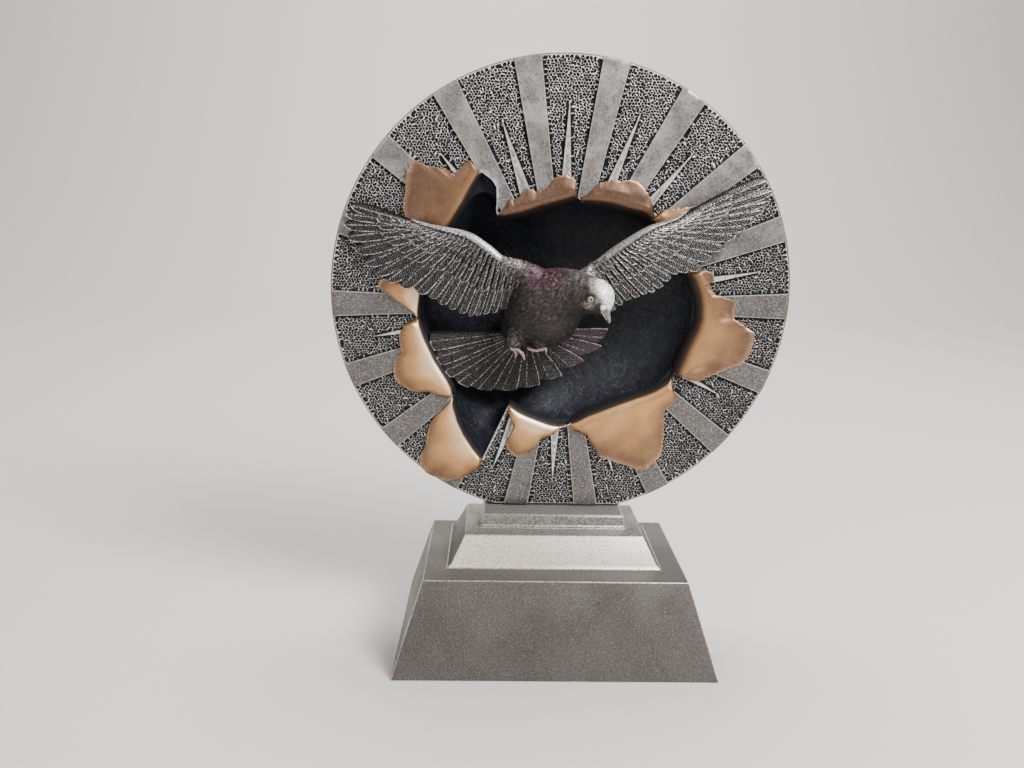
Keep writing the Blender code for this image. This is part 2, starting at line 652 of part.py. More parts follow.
def build_seat_cutter(collection):
    """Cuts the disc flat where it stands on the block, a hair above it."""
    seat = BASE_HEIGHT + TIER_HEIGHT + BLOCK_HEIGHT + SEAT_GAP
    bm = bmesh.new()
    bmesh.ops.create_cube(bm, size=1.0)
    size = DISC_RADIUS
    bmesh.ops.scale(bm, vec=(size, size, size), verts=bm.verts)
    bmesh.ops.translate(bm, vec=(0, 0, seat - size / 2), verts=bm.verts)
    return mesh_object("seat_cutter", bm, collection)


def boolean(obj, name, operation, target):
    mod = obj.modifiers.new(name, "BOOLEAN")
    mod.operation = operation
    mod.solver = "EXACT"
    if isinstance(target, bpy.types.Collection):
        mod.operand_type = "COLLECTION"
        mod.collection = target
    else:
        mod.object = target
    return mod


def finish_material(obj, name, color, metallic, roughness):
    mat = bpy.data.materials.new(name)
    mat.use_nodes = True
    shader = mat.node_tree.nodes["Principled BSDF"]
    shader.inputs["Base Color"].default_value = (*color, 1.0)
    shader.inputs["Metallic"].default_value = metallic
    shader.inputs["Roughness"].default_value = roughness
    obj.data.materials.clear()
    obj.data.materials.append(mat)


def cutter_group(name, parent):
    group = bpy.data.collections.new(name)
    parent.children.link(group)
    return group


def main():
    for obj in list(bpy.data.objects):
        bpy.data.objects.remove(obj, do_unlink=True)
    scene = bpy.context.scene.collection
    trophy = bpy.data.collections.new("pigeon_racing_trophy")
    scene.children.link(trophy)
    cutters = bpy.data.collections.new("cutters")
    scene.children.link(cutters)
    plinth = build_plinth(trophy)
    finish_material(plinth, "pewter_paint", (0.30, 0.30, 0.29), 0.6, 0.45)
    disc = build_plate(trophy)
    finish_material(disc, "antique_silver_paint", (0.36, 0.36, 0.36), 0.7, 0.42)
    sunburst = cutter_group("sunburst", cutters)
    flaps = cutter_group("flaps", cutters)
    pigeon = cutter_group("pigeon", cutters)
    build_rays(sunburst)
    for name, outline in FLAPS.items():
        build_flap(name, outline, flaps)
    build_wing("left_wing", LEFT_BONE, LEFT_TIPS, pigeon)
    build_wing("right_wing", RIGHT_BONE, RIGHT_TIPS, pigeon)
    build_tail(pigeon)
    build_body(pigeon)
    boolean(disc, "sunburst", "UNION", sunburst)
    boolean(disc, "bowl_back", "UNION", build_dome(cutters))
    boolean(disc, "opening", "DIFFERENCE", build_tear_cutter(cutters))
    boolean(disc, "seat", "DIFFERENCE", build_seat_cutter(cutters))
    boolean(disc, "flaps", "UNION", flaps)
    boolean(disc, "pigeon", "UNION", pigeon)
    flat = disc.modifiers.new("flat_faces", "DECIMATE")
    flat.decimate_type = "DISSOLVE"
    flat.angle_limit = math.radians(FLAT_ANGLE)
    for obj in cutters.all_objects:
        obj.hide_render = True
        obj.display_type = "WIRE"


main()
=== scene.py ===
"""Pigeon racing trophy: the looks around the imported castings.

Places on the relief are (x, w, d) in millimetres: x to the right and w upward from the disc's
middle, d forward of the disc's front face. Polar places are degrees and millimetres around the
burst's centre, which lies BURST_DROP below the disc's middle.
"""
import math

import bmesh
import bpy
import numpy as np
from mathutils import Matrix, Vector
from mathutils.geometry import delaunay_2d_cdt


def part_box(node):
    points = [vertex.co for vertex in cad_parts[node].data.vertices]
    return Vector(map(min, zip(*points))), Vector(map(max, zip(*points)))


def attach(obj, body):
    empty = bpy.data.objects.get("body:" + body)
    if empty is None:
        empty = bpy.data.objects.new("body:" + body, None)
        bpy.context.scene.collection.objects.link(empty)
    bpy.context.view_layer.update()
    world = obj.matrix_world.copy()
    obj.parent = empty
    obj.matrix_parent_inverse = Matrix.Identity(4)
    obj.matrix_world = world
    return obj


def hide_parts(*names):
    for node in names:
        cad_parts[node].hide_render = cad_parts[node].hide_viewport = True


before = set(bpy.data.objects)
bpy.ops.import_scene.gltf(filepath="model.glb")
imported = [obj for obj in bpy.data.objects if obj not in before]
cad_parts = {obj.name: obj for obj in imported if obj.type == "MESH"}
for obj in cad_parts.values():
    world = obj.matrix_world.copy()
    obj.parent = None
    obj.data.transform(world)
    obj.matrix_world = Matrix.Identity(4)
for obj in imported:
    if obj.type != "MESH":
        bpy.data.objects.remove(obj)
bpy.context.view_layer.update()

# Sizes read from the frame; the bowl's depth and wall place the disc's front face
disc_low, disc_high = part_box("relief_disc")
plinth_low, plinth_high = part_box("plinth")
MM = 0.001
RADIUS = (disc_high.x - disc_low.x) / 2 / MM
CENTER_X = (disc_high.x + disc_low.x) / 2
CENTER_Z = disc_high.z - RADIUS * MM
SEAT_W = (disc_low.z - CENTER_Z) / MM
BOWL_DEPTH = 18.0
BOWL_WALL = 3.0
FRONT_Y = disc_high.y - (BOWL_DEPTH + BOWL_WALL) * MM

# The disc and its sunburst
BURST_DROP = 2.5
PLATE_THICKNESS = 9.0
PLATE_EDGE = 0.6
SHEET_EDGE = 1.2
DOME_RADIUS = 50.0
# The rounded back starts DOME_FOOT behind the front face; rings stop short of poles
DOME_FOOT = 6.0
DOME_RINGS = 12
POLE_SHARE = 0.985
GROUND_INNER = 30.5
RAY_RELIEF = 0.6
RAY_ROOT_HALF = 1.1
RAY_SPREAD = 0.04
SPIKE_HALF = 1.1
SPIKE_FULL_RADIUS = 45.0
SPIKE_FADE = 1.5
STEP_FOOT = 0.16
LINE_STEP = 0.7
# The ground: pits, the ridges between them, and the room that both keep from edges
PIT_SPACING = 0.92
PIT_JITTER = 0.36
PIT_DEPTH = 0.28
PIT_TO_TEAR = 0.40
PIT_TO_RAY = 0.36
RIDGE_TO_TEAR = 0.22
RIDGE_TO_RAY = 0.18
RIDGE_REACH = 2.1
RAY_BORDER = 0.22
FLAT_SPACING = 1.5
FLAT_JITTER = 0.2
FLAT_TO_TEAR = 0.5
FLAT_TO_RAY = 0.3
TEAR_POINTS = 620
RIM_POINTS = 1080
FAR = 9.0
# Rings behind the torn edge: share of the way into the hollow, growth outward
CUP_RINGS = [(0.04, 1.0), (0.15, 1.7), (0.35, 2.0), (0.6, 2.0), (0.85, 2.0), (0.98, 2.0)]
# Rings round the rim: inset, depth, share of a ray's height
RIM_RINGS = [(0.22, 0.10, 0.8), (0.0, 0.45, 0.3), (0.0, PLATE_THICKNESS - 0.6, 0),
             (0.6, PLATE_THICKNESS, 0)]
# The lining of the bowl
LINING_THICKNESS = 0.3
LINING_POINTS = 360
LINING_SHARES = [0.0, 0.02, 0.05] + list(np.linspace(0.09, POLE_SHARE, 44))
# The square that each field of noise covers, in millimetres, and its cells
NOISE_EXTENT = 170.0
NOISE_CELLS = 700
RAYS = [0.6, 20.1, 39.5, 59.3, 79.0, 99.5, 119.7, 140.0, 160.0, 180.5, 199.5, 219.0, 239.0,
        259.0, 278.7, 299.3, 320.2, 340.3]
# Spike between each ray and the next: degrees, tip radius
SPIKES = [(10.5, 65), (30, 58), (50.5, 62), (69.3, 64), (89.5, 63), (109.5, 60), (130, 61),
          (150, 57), (170.5, 57), (190.5, 62), (210, 57), (229, 57), (249, 60), (269, 60),
          (289, 61), (310, 57), (331.5, 61), (350, 57)]

# The torn edge: degrees, radius
TEAR = [
    (0, 45.0), (5, 44.5), (10, 43.5), (15, 42.5), (22, 42.0), (28, 41.5), (41, 39.6), (45, 39.6),
    (50, 38.5), (55, 37.0), (60, 36.0), (65, 35.3), (70, 34.5), (75, 33.8), (80, 33.5),
    (83, 34.6), (86, 33.9), (90, 33.0), (95, 32.3), (100, 32.0), (105, 31.7), (110, 31.5),
    (115, 31.8), (120, 32.5), (124, 33.5), (127, 35.2), (126, 37.0), (123, 39.5), (121, 42.0),
    (120.3, 43.0), (120.5, 45.5), (122.5, 49.4), (125, 48.5), (130, 46.8), (135, 45.3),
    (140, 44.5), (145, 44.0), (150, 44.4), (163, 45.2), (172, 45.8), (177.5, 46.0),
    (183, 46.6), (186.6, 47.2), (190, 46.5), (195, 46.0), (200, 45.5), (205, 45.3),
    (210, 45.0), (215, 45.0), (219, 45.6), (221.8, 47.6), (225, 49.3), (230, 52.0),
    (235, 54.5), (240, 56.8), (244.7, 59.0), (244.6, 52.0), (244.4, 45.0), (244.1, 38.0),
    (250, 38.5), (255, 39.0), (260, 39.5), (265, 40.3), (270, 41.0), (273.5, 41.2),
    (275, 40.8), (280, 39.3), (285, 38.3), (290, 38.0), (295, 38.0), (300, 38.3), (305, 39.0),
    (310, 40.0), (315, 41.5), (320, 43.0), (325, 44.3), (328.5, 45.0), (332, 44.3),
    (335, 44.0), (340, 43.8), (345, 44.0), (350, 44.8), (355, 45.3),
]

# Each curled flap: the width of its dark root, how light its copper is painted (painted light
# and shade: lighter where a flap faces the light), then its outer edge as degrees, radius
FLAPS = {
    "upper_left": (1.6, 0.2, [
        (123, 49.6), (123.5, 53), (124.3, 54.5), (130.3, 53.8), (131.5, 54.5), (131.7, 57),
        (133, 58), (134, 60), (135.5, 61.5), (136, 64), (137.5, 66), (139, 65), (141.5, 64),
        (142.5, 63), (145, 61.5), (148.5, 60), (150, 59), (151.8, 57), (154, 52), (156, 46.5)]),
    "top_left": (2.2, -0.14, [
        (83.6, 35), (84.8, 38), (85.3, 39.7), (88, 40.8), (91, 41), (94, 40.6), (95, 40.8),
        (96, 39.5), (97.5, 38), (99, 37.8), (101, 37.2), (105, 37.2), (105.5, 38), (108, 38.7),
        (111, 38.2), (113, 37.3), (115, 37), (116, 36.4), (117, 37.7), (119, 37.2),
        (122, 36.2), (125, 35.8), (126.8, 35.3)]),
    "top_right": (2.4, -0.06, [
        (45.2, 40.3), (47, 41), (49, 43), (53, 44.3), (56, 45.2), (60, 45.5), (63, 45),
        (66, 43.5), (70, 42.5), (73, 41), (74.5, 40.7), (76, 38.5), (79, 36), (81, 35),
        (82.5, 35)]),
    "upper_right": (1.2, 0.45, [
        (33, 41.5), (34.0, 56), (36, 56.5), (37, 55.5), (39, 51), (42, 47), (44, 45),
        (44.8, 44), (44.9, 40.5)]),
    "left_small": (1.0, 1.0, [
        (170.5, 46.5), (172.3, 58), (173.2, 59.5), (175, 60), (176.3, 58.5), (179, 54),
        (182, 50), (185, 47.9), (186.3, 47.3)]),
    "left_large": (1.2, 0.98, [
        (186.9, 47.5), (187.3, 50), (188.3, 52), (190.5, 53.5), (193, 54.3), (198, 54.8),
        (198.7, 56), (199.7, 58), (201.5, 59), (203.5, 59.7), (205, 60.2), (206.8, 59.5),
        (209, 58.5), (211, 57), (212.5, 55.5), (214, 53), (217, 51), (220, 49.3),
        (221.6, 47.9)]),
    "lower_left": (1.2, 0.84, [
        (222, 48), (222.3, 52), (222.8, 57), (224, 60), (225, 62), (227.5, 65.5), (228, 68),
        (228.8, 71), (230, 72.3), (233, 73), (236, 72.5), (238, 72), (240, 70), (242, 67.5),
        (243.5, 65), (244.7, 63), (245, 60.5), (244.7, 59.3)]),
    "bottom_small": (1.3, 0.98, [
        (244.2, 38.3), (247, 41.5), (250, 43.5), (251, 45), (250.3, 47), (249.5, 50),
        (250, 51), (253, 53), (256, 54), (258, 52.8), (260, 51), (261, 50), (262, 47.5),
        (263.5, 46), (267, 44.7), (270, 42.5), (273, 41.5)]),
    "bottom_large": (1.6, 0.60, [
        (274.5, 41.2), (277, 42.8), (279, 43.7), (283, 45.2), (284, 48), (286, 53.5),
        (289, 55.5), (291, 57.5), (294, 60), (297, 63), (299, 64), (301, 63.3), (305, 62.3),
        (307, 60), (309, 57.5), (311, 55), (313, 53), (315.5, 50.5), (317, 50.3), (321, 50.5),
        (322.5, 49.8), (324, 48), (325, 46.5), (326, 45.4), (328, 45)]),
    "right_large": (4.5, 0.42, [
        (329.3, 45), (330.5, 47), (331, 50), (332, 53), (335, 55), (339, 58.5), (341, 60.5),
        (342.5, 63.5), (344, 64.3), (347, 65), (351, 65), (353, 64.3), (354, 62), (355.5, 59),
        (356.5, 57), (360, 57), (362, 57.2), (363, 55), (364.5, 52), (365, 50), (367, 49),
        (369.5, 49), (370, 50.3), (373, 50), (374.5, 48.5), (375.5, 46), (376, 43.5)]),
}

# A flap's roll out of the bowl: distance outward from the tear, height over the disc
FLAP_ROLL = [(-1.05, -5.0), (-1.1, -3.6), (-1.05, -2.4), (-0.88, -1.3), (-0.5, -0.2),
             (0.1, 0.75), (0.85, 1.5), (1.8, 1.95), (2.9, 2.1)]
FLAP_ROWS = 16
FLAP_TIP_HEIGHT = 1.25
FLAP_LOWEST = 0.85

# The pigeon's wing bones, shoulder to hand, and its feather tips, innermost first: x, w, d
WINGS = {
    "left": (
        [(-12.5, 9.0, 6.0), (-19.3, 11.6, 7.6), (-25.3, 16.0, 7.6), (-29.9, 18.9, 7.0),
         (-35.9, 20.5, 6.2), (-42.3, 21.8, 5.3), (-48.5, 23.6, 4.2)],
        [(-14.5, 2.0, 3.6), (-17.0, -1.5, 3.4), (-19.9, -3.7, 3.2), (-22.7, -4.9, 3.1),
         (-25.2, -5.4, 3.0), (-27.7, -5.9, 3.0), (-30.2, -6.2, 3.0), (-33.0, -5.2, 3.0),
         (-36.4, -3.9, 3.0), (-39.5, -2.3, 3.0), (-42.8, -0.2, 3.0), (-46.8, 1.4, 3.0),
         (-51.8, 3.1, 2.8), (-56.3, 4.7, 2.2), (-60.1, 6.7, 1.7), (-63.3, 10.1, 1.5),
         (-66.3, 14.3, 1.4), (-68.7, 18.3, 1.4), (-69.6, 22.1, 1.4), (-69.1, 25.4, 1.4),
         (-67.2, 28.0, 1.4)]),
    "right": (
        [(6.5, 8.6, 6.0), (12.8, 12.9, 6.8), (18.0, 16.7, 6.6), (23.6, 20.5, 6.2),
         (27.8, 22.8, 5.6), (33.0, 24.6, 4.9), (37.4, 26.9, 4.2)],
        [(14.6, -3.9, 3.4), (17.3, -3.1, 3.2), (19.7, -1.3, 3.1), (22.3, 0.4, 3.0),
         (24.9, 1.4, 3.0), (27.4, 2.4, 3.0), (29.9, 3.2, 3.0), (32.4, 4.8, 3.0),
         (34.8, 7.4, 3.0), (37.5, 9.7, 2.8), (40.7, 10.1, 2.3), (44.4, 10.8, 1.7),
         (47.6, 14.4, 1.5), (51.7, 17.6, 1.4), (55.0, 21.0, 1.4), (58.1, 23.9, 1.4),
         (61.0, 26.4, 1.4), (63.3, 29.2, 1.4), (65.0, 31.9, 1.4), (65.8, 35.2, 1.4),
         (63.7, 38.4, 1.4)]),
}
# Levels of the plinth above its footprint: height, width, back and front in millimetres
TIER_FOOT = 29.7
TIER_TOP = 39.8
PLINTH_LEVELS = [
    (29.7, 84.9, 24.25, -24.25), (29.75, 70.4, 21.3, -15.65), (31.2, 67.6, 19.6, -15.04),
    (39.8, 59.0, 16.05, -11.45), (39.85, 48.9, 14.8, -5.8),
    (40.6, 48.9, 14.8, -5.8), (40.7, 47.9, 14.3, -5.3), (43.2, 47.9, 14.3, -5.3),
    (43.9, 47.5, 14.1, -5.1), (44.35, 46.6, 13.7, -4.7), (44.5, 45.3, 13.0, -4.0),
]
# Barbs: spacing along the shaft, and how far they sweep back from it
BARB_PITCH = 0.92
BARB_SWEEP = 1.35
FEATHER_THICKNESS = 0.35
COVERT_TILT = 0.32
FLIGHT_TILT = 0.42
WING_EDGE_SECTIONS = 44
WING_EDGE_SIDES = 20
# Radius of the wing's leading edge by share of its length
WING_EDGE_SHARES = [0, 0.12, 0.3, 0.6, 1]
WING_EDGE_RADII = [0.8, 1.5, 1.9, 1.6, 0.8]
TAIL_ROOT = (-10.6, -11.9, -3.4)
# Corners between the tail feathers, from the right round to the left
TAIL_CORNERS = [
    (15.8, -10.7, -2.6), (13.5, -16.2, -2.5), (7.4, -21.0, -2.3), (0.6, -26.0, -2.1),
    (-6.6, -29.9, -1.9), (-14.6, -31.8, -1.7), (-23.0, -32.0, -1.5), (-30.8, -31.0, -1.3),
    (-36.4, -27.6, -1.1), (-39.6, -23.4, -0.9), (-42.0, -18.2, -0.7), (-43.9, -12.6, -0.5),
]
# Body sections from the rump to the throat: x, w, d, radius
BODY = [
    (-12.6, -12.4, -15.0, 6.0), (-12.2, -11.6, -11.0, 7.6), (-10.6, -9.4, -5.0, 9.7),
    (-7.8, -5.9, 0.0, 11.5), (-5.0, -3.0, 3.4, 12.3), (-1.4, 0.0, 6.2, 10.8),
    (2.3, 1.9, 9.3, 8.4), (5.8, 2.6, 12.7, 6.6), (8.9, 2.5, 16.2, 5.2),
]
# Shoulders from the left wing across the back to the right wing: x, w, d, radius
SHOULDERS = [
    (-24.0, 15.0, 7.4, 1.2), (-19.3, 11.6, 7.3, 2.2), (-12.5, 8.6, 6.4, 3.5),
    (-6.0, 4.6, 5.8, 5.0), (0.0, 3.6, 6.2, 5.6), (5.5, 5.2, 6.4, 4.4), (10.0, 9.4, 6.4, 2.9),
    (14.0, 13.2, 6.5, 2.0), (18.0, 16.6, 6.4, 1.2),
]
# Head, and the way that the beak points
HEAD = (9.6, 2.5, 16.9)
HEAD_RADIUS = 5.3
BEAK_AIM = (0.42, -0.72, 0.55)
# Thighs: hip, knee, radius
THIGHS = [
    ((-14.4, -9.2, 3.6), (-15.6, -14.6, 7.4), 3.3),
    ((-6.6, -11.4, 6.6), (-7.4, -15.0, 8.2), 2.8),
]
# Toes as paths
TOES = [
    [(-16.6, -14.2, 7.6), (-16.0, -15.7, 8.8), (-14.1, -15.9, 9.6), (-12.5, -17.3, 9.6),
     (-11.9, -19.2, 9.0)],
    [(-15.6, -15.4, 8.8), (-14.6, -17.2, 9.0), (-14.9, -18.6, 8.2)],
    [(-8.0, -14.6, 8.2), (-7.0, -15.7, 9.4), (-5.4, -15.3, 9.8), (-5.0, -16.6, 9.2)],
    [(-11.0, -15.4, 8.4), (-9.0, -16.0, 9.2), (-7.0, -16.0, 9.3)],
]

EYE = (7.3, 2.2, 21.3)
EYE_AIM = (-0.25, 0.05, 1.0)
NOSE = (11.5, -0.5, 21.6)
BEAK_TIP = (13.0, -5.15, 21.4)
# The way that the crown's cream paint and its painted highlight face
CROWN_HIGHLIGHT_AIM = (0.76, 0.50, 0.41)
DOWN_HEIGHT = 0.09
# Patches of the plumage's paint: strength, place, stretch, radius
PATCHES = {
    "rose": [(1.0, (-6.2, 7.4, 10.0), (1, 1.2, 0.5), 7.5),
             (0.22, (-4.5, -6.0, 12.0), (1, 0.9, 0.4), 7.0)],
    "pale": [(0.9, (8.2, 9.2, 9.0), (1, 1, 0.5), 2.4),
             (0.45, (6.4, 0.2, 20.8), (1, 1, 0.5), 2.3)],
    "arm": [(1.0, (-18.8, 11.8, 8.6), (0.40, 1, 0.6), 3.6),
            (0.55, (8.0, 9.6, 8.0), (0.5, 1, 0.5), 4.4),
            (0.30, (-14.5, -12.6, 6.5), (1, 0.7, 0.5), 4.0)],
    "socket": [(1.0, (7.4, 2.9, 21.0), (0.9, 1.1, 0.5), 2.1),
               (1.0, (9.6, -0.6, 21.2), (1.5, 0.6, 0.4), 2.3)],
}

# The photograph's camera, the floor and the lights
CAMERA_PLACE = (-0.021305, -0.257938, 0.149276)
CAMERA_YAW = 0.022
CAMERA_PITCH = 0.232
CAMERA_ROLL = 0.020
CAMERA_LENS = 28.24
SENSOR = 36.0
FLOOR_SCALE = (2.5, 1.5, 1.0)
WALL_HEIGHT = 2.2
WALL_CURVE = 0.5
STUDIO_STRENGTH = 0.30
# Each light: place, size, power in watts, what it points at
LIGHTS = {
    "key": ((0.40, -0.32, 0.60), 0.30, 11.0, (0, 0, 0.10)),
    "fill": ((-0.55, -0.60, 0.45), 0.6, 2.5, (0, 0, 0.10)),
    "wall_wash": ((0.0, 0.45, 1.25), 0.8, 27.0, (0.0, 1.15, 0.35)),
}


# Places, paths and noise

def polar(points):
    """Polar places as x, w on the relief."""
    a = np.radians(np.array([p[0] for p in points], float))
    r = np.array([p[1] for p in points], float)
    return np.stack([r * np.cos(a), r * np.sin(a) - BURST_DROP], -1)


def to_world(places):
    """Relief places in millimetres, as world metres."""
    places = np.asarray(places, float)
    return np.stack([CENTER_X + places[..., 0] * MM, FRONT_Y - places[..., 2] * MM,
                     CENTER_Z + places[..., 1] * MM], -1)


def resample(points, count):
    """Evenly spaced places along a polyline."""
    points = np.asarray(points, float)
    lengths = np.concatenate([[0], np.cumsum(np.linalg.norm(np.diff(points, axis=0), axis=1))])
    walk = np.linspace(0, lengths[-1], count)
    return np.stack([np.interp(walk, lengths, points[:, k]) for k in range(points.shape[1])], -1)


def path_length(points):
    """Length of a polyline."""
    return float(np.linalg.norm(np.diff(np.asarray(points, float), axis=0), axis=1).sum())


def smooth_path(points, steps):
    """Catmull-Rom curve through the points, with the given steps between neighbours."""
    p = np.asarray(points, float)
    p = np.vstack([2 * p[0] - p[1], p, 2 * p[-1] - p[-2]])
    out = []
    for k in range(1, len(p) - 2):
        a, b, c, d = p[k - 1:k + 3]
        for t in np.arange(steps) / steps:
            out.append(0.5 * (2 * b + (c - a) * t + (2 * a - 5 * b + 4 * c - d) * t * t
                              + (3 * b - a - 3 * c + d) * t ** 3))
    out.append(p[-2])
    return np.array(out)


def smoothstep(low, high, value):
    """0 at low, 1 at high, eased at both ends."""
    t = np.clip((value - low) / (high - low), 0, 1)
    return t * t * (3 - 2 * t)


def noise_field(wavelength, spread, seed):
    """A function that samples a square field of band-pass noise with unit deviation."""
    rng = np.random.default_rng(seed)
    cells = NOISE_CELLS
    field = np.fft.rfft2(rng.standard_normal((cells, cells)))
    step = NOISE_EXTENT / cells
    fx = np.fft.rfftfreq(cells, step)[None, :]
    fy = np.fft.fftfreq(cells, step)[:, None]
    f = np.hypot(fx, fy) * wavelength
    field *= np.exp(-((f - 1.0) / spread) ** 2)
    field = np.fft.irfft2(field, s=(cells, cells))
    field /= field.std()

    def sample(x, y):
        u = (np.asarray(x) / step + cells / 2) % cells
        v = (np.asarray(y) / step + cells / 2) % cells
        i = np.floor(u).astype(int)
        j = np.floor(v).astype(int)
        s = u - i
        t = v - j
        i2 = (i + 1) % cells
        j2 = (j + 1) % cells
        return ((field[j % cells, i % cells] * (1 - s) + field[j % cells, i2] * s) * (1 - t)
                + (field[j2, i % cells] * (1 - s) + field[j2, i2] * s) * t)

    return sample


def inside(points, outline):
    """Which of the points lie inside a closed outline."""
    x, y = points[:, 0], points[:, 1]
    hit = np.zeros(len(points), bool)
    for (x1, y1), (x2, y2) in zip(outline, np.roll(outline, -1, axis=0)):
        if y1 == y2:
            continue
        crosses = (y1 > y) != (y2 > y)
        hit ^= crosses & (x < (x2 - x1) * (y - y1) / (y2 - y1) + x1)
    return hit


def nearest_on(points, outline):
    """Nearest place on a closed outline for each point, and the distance to it."""
    best = np.full(len(points), 1e9)
    spot = points.copy()
    for a, b in zip(outline, np.roll(outline, -1, axis=0)):
        ab = b - a
        t = np.clip(((points - a) @ ab) / max(ab @ ab, 1e-12), 0, 1)
        q = a + t[:, None] * ab
        dist = np.linalg.norm(points - q, axis=1)
        closer = dist < best
        best[closer] = dist[closer]
        spot[closer] = q[closer]
    return spot, best


# Meshes

def make_piece(name, points, faces, slot, material, crease, **values):
    """A mesh piece at the origin, smooth but for edges over the crease angle."""
    mesh = bpy.data.meshes.new(name)
    mesh.from_pydata([tuple(p) for p in np.asarray(points).tolist()], [], faces)
    for key, data in values.items():
        data = np.asarray(data, np.float32)
        if data.ndim == 1:
            mesh.attributes.new(key, "FLOAT", "POINT").data.foreach_set("value", data)
        else:
            mesh.attributes.new(key, "FLOAT_VECTOR", "POINT").data.foreach_set(
                "vector", data.ravel())
    bm = bmesh.new()
    bm.from_mesh(mesh)
    bmesh.ops.recalc_face_normals(bm, faces=bm.faces)
    limit = math.radians(crease)
    for edge in bm.edges:
        edge.smooth = not (len(edge.link_faces) == 2 and edge.calc_face_angle(0.0) > limit)
    for face in bm.faces:
        face.smooth = True
    bm.to_mesh(mesh)
    bm.free()
    obj = bpy.data.objects.new(name, mesh)
    bpy.context.scene.collection.objects.link(obj)
    dress(obj, material)
    return obj


def dress(obj, material):
    """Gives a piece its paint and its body."""
    obj.data.materials.clear()
    obj.data.materials.append(material)
    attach(obj, "root")


def sheet_faces(rows, cols, start=0):
    """Faces of a closed slab: a grid of top points followed by a grid of bottom points."""
    size = rows * cols
    faces = []
    for i in range(rows - 1):
        for j in range(cols - 1):
            a = start + i * cols + j
            b = a + 1
            faces.append((a, b, b + cols, a + cols))
            faces.append((a + size, a + cols + size, b + cols + size, b + size))
    rim = [(0, j) for j in range(cols)] + [(i, cols - 1) for i in range(1, rows)]
    rim += [(rows - 1, j) for j in range(cols - 2, -1, -1)]
    rim += [(i, 0) for i in range(rows - 2, 0, -1)]
    for (a, b), (c, d) in zip(rim, rim[1:] + rim[:1]):
        p = start + a * cols + b
        q = start + c * cols + d
        faces.append((p, p + size, q + size, q))
    return faces


def rim_radius(angles):
    """Distance from the burst's centre to the disc's rim, or to its flat seat."""
    c, s = np.cos(angles), np.sin(angles)
    b = -BURST_DROP * s
    reach = -b + np.sqrt(b * b - BURST_DROP ** 2 + RADIUS ** 2)
    seat = np.where(s < -0.05, (SEAT_W + BURST_DROP) / np.minimum(s, -0.05), 1e9)
    return np.minimum(reach, seat)


# The bowl

def bowl_ring(edge, share, grow=0.0):
    """One ring of the hollow for edge places given as polar columns: share 0 at the torn edge."""
    angle, radius = edge[:, 0], edge[:, 1]
    count = len(edge)
    window = max(3, count // 22)
    kernel = np.ones(2 * window + 1) / (2 * window + 1)
    turned = np.concatenate([angle[-window:] - 2 * math.pi, angle, angle[:window] + 2 * math.pi])
    even = np.convolve(turned, kernel, "valid")
    around = np.concatenate([radius[-window:], radius, radius[:window]])
    calm = np.convolve(around, kernel, "valid")
    round_radius = min(float(calm.mean()), DOME_RADIUS - BOWL_WALL)
    depth = SHEET_EDGE + (BOWL_DEPTH - SHEET_EDGE) * math.sin(share * math.pi / 2) ** 1.15
    shrink = math.cos(share * math.pi / 2) ** 0.8
    blend = min(1.0, 0.35 + share)
    held = np.minimum(radius, calm) * (1 - blend) + np.minimum(calm, round_radius) * blend
    if share == 0:
        even, held = angle, radius
    r = held * shrink + grow
    x = r * np.cos(even)
    w = r * np.sin(even) - BURST_DROP
    return np.stack([x, w, np.full(count, -depth - grow)], -1)


def as_polar(xw, running=True):
    """Columns of angle and radius around the burst's centre; a running angle never jumps."""
    angle = np.arctan2(xw[:, 1] + BURST_DROP, xw[:, 0])
    if running:
        angle = np.unwrap(angle)
    return np.stack([angle, np.hypot(xw[:, 0], xw[:, 1] + BURST_DROP)], -1)


def build_bowl(material):
    """Lining of the hollow, a thin cup behind the torn edge."""
    outline = polar(TEAR)
    edge = as_polar(resample(np.vstack([outline, outline[:1]]), LINING_POINTS + 1)[:-1])
    shares = LINING_SHARES
    rings = [bowl_ring(edge, s) for s in shares]
    rings += [bowl_ring(edge, s, LINING_THICKNESS) for s in shares[::-1]]
    count = len(edge)
    points = np.vstack(rings)
    swell = noise_field(5.0, 0.6, 21)
    wrinkle = noise_field(1.9, 0.5, 22)
    x, w = points[:, 0], points[:, 1]
    deep = smoothstep(-SHEET_EDGE - 1.0, -SHEET_EDGE - 5.0, points[:, 2])
    points[:, 2] += deep * (0.035 * swell(x, w) + 0.03 * wrinkle(x * 0.35 + w * 0.35, w - x))
    faces = []
    half = len(shares)
    for k in range(2 * half):
        if k == half - 1:
            continue
        for j in range(count):
            a = k * count + j
            b = k * count + (j + 1) % count
            c = ((k + 1) % (2 * half)) * count
            faces.append((a, b, c + (j + 1) % count, c + j))
    inner = (half - 1) * count
    outer = half * count
    faces.append(tuple(range(inner, inner + count)))
    faces.append(tuple(range(outer, outer + count))[::-1])
    rise = np.concatenate([np.full(count, 1 - s) for s in shares + shares[::-1]])
    return make_piece("bowl", to_world(points), faces, "black_lacquer", material, 50, rise=rise)


# The sunburst plate

def marks():
    """Each ray and spike: direction, tip, half width at the burst's centre, growth outward."""
    for degrees in RAYS:
        yield math.radians(degrees), None, RAY_ROOT_HALF, RAY_SPREAD
    for degrees, tip in SPIKES:
        slope = SPIKE_HALF / (tip - SPIKE_FULL_RADIUS)
        yield math.radians(degrees), tip, slope * tip, -slope


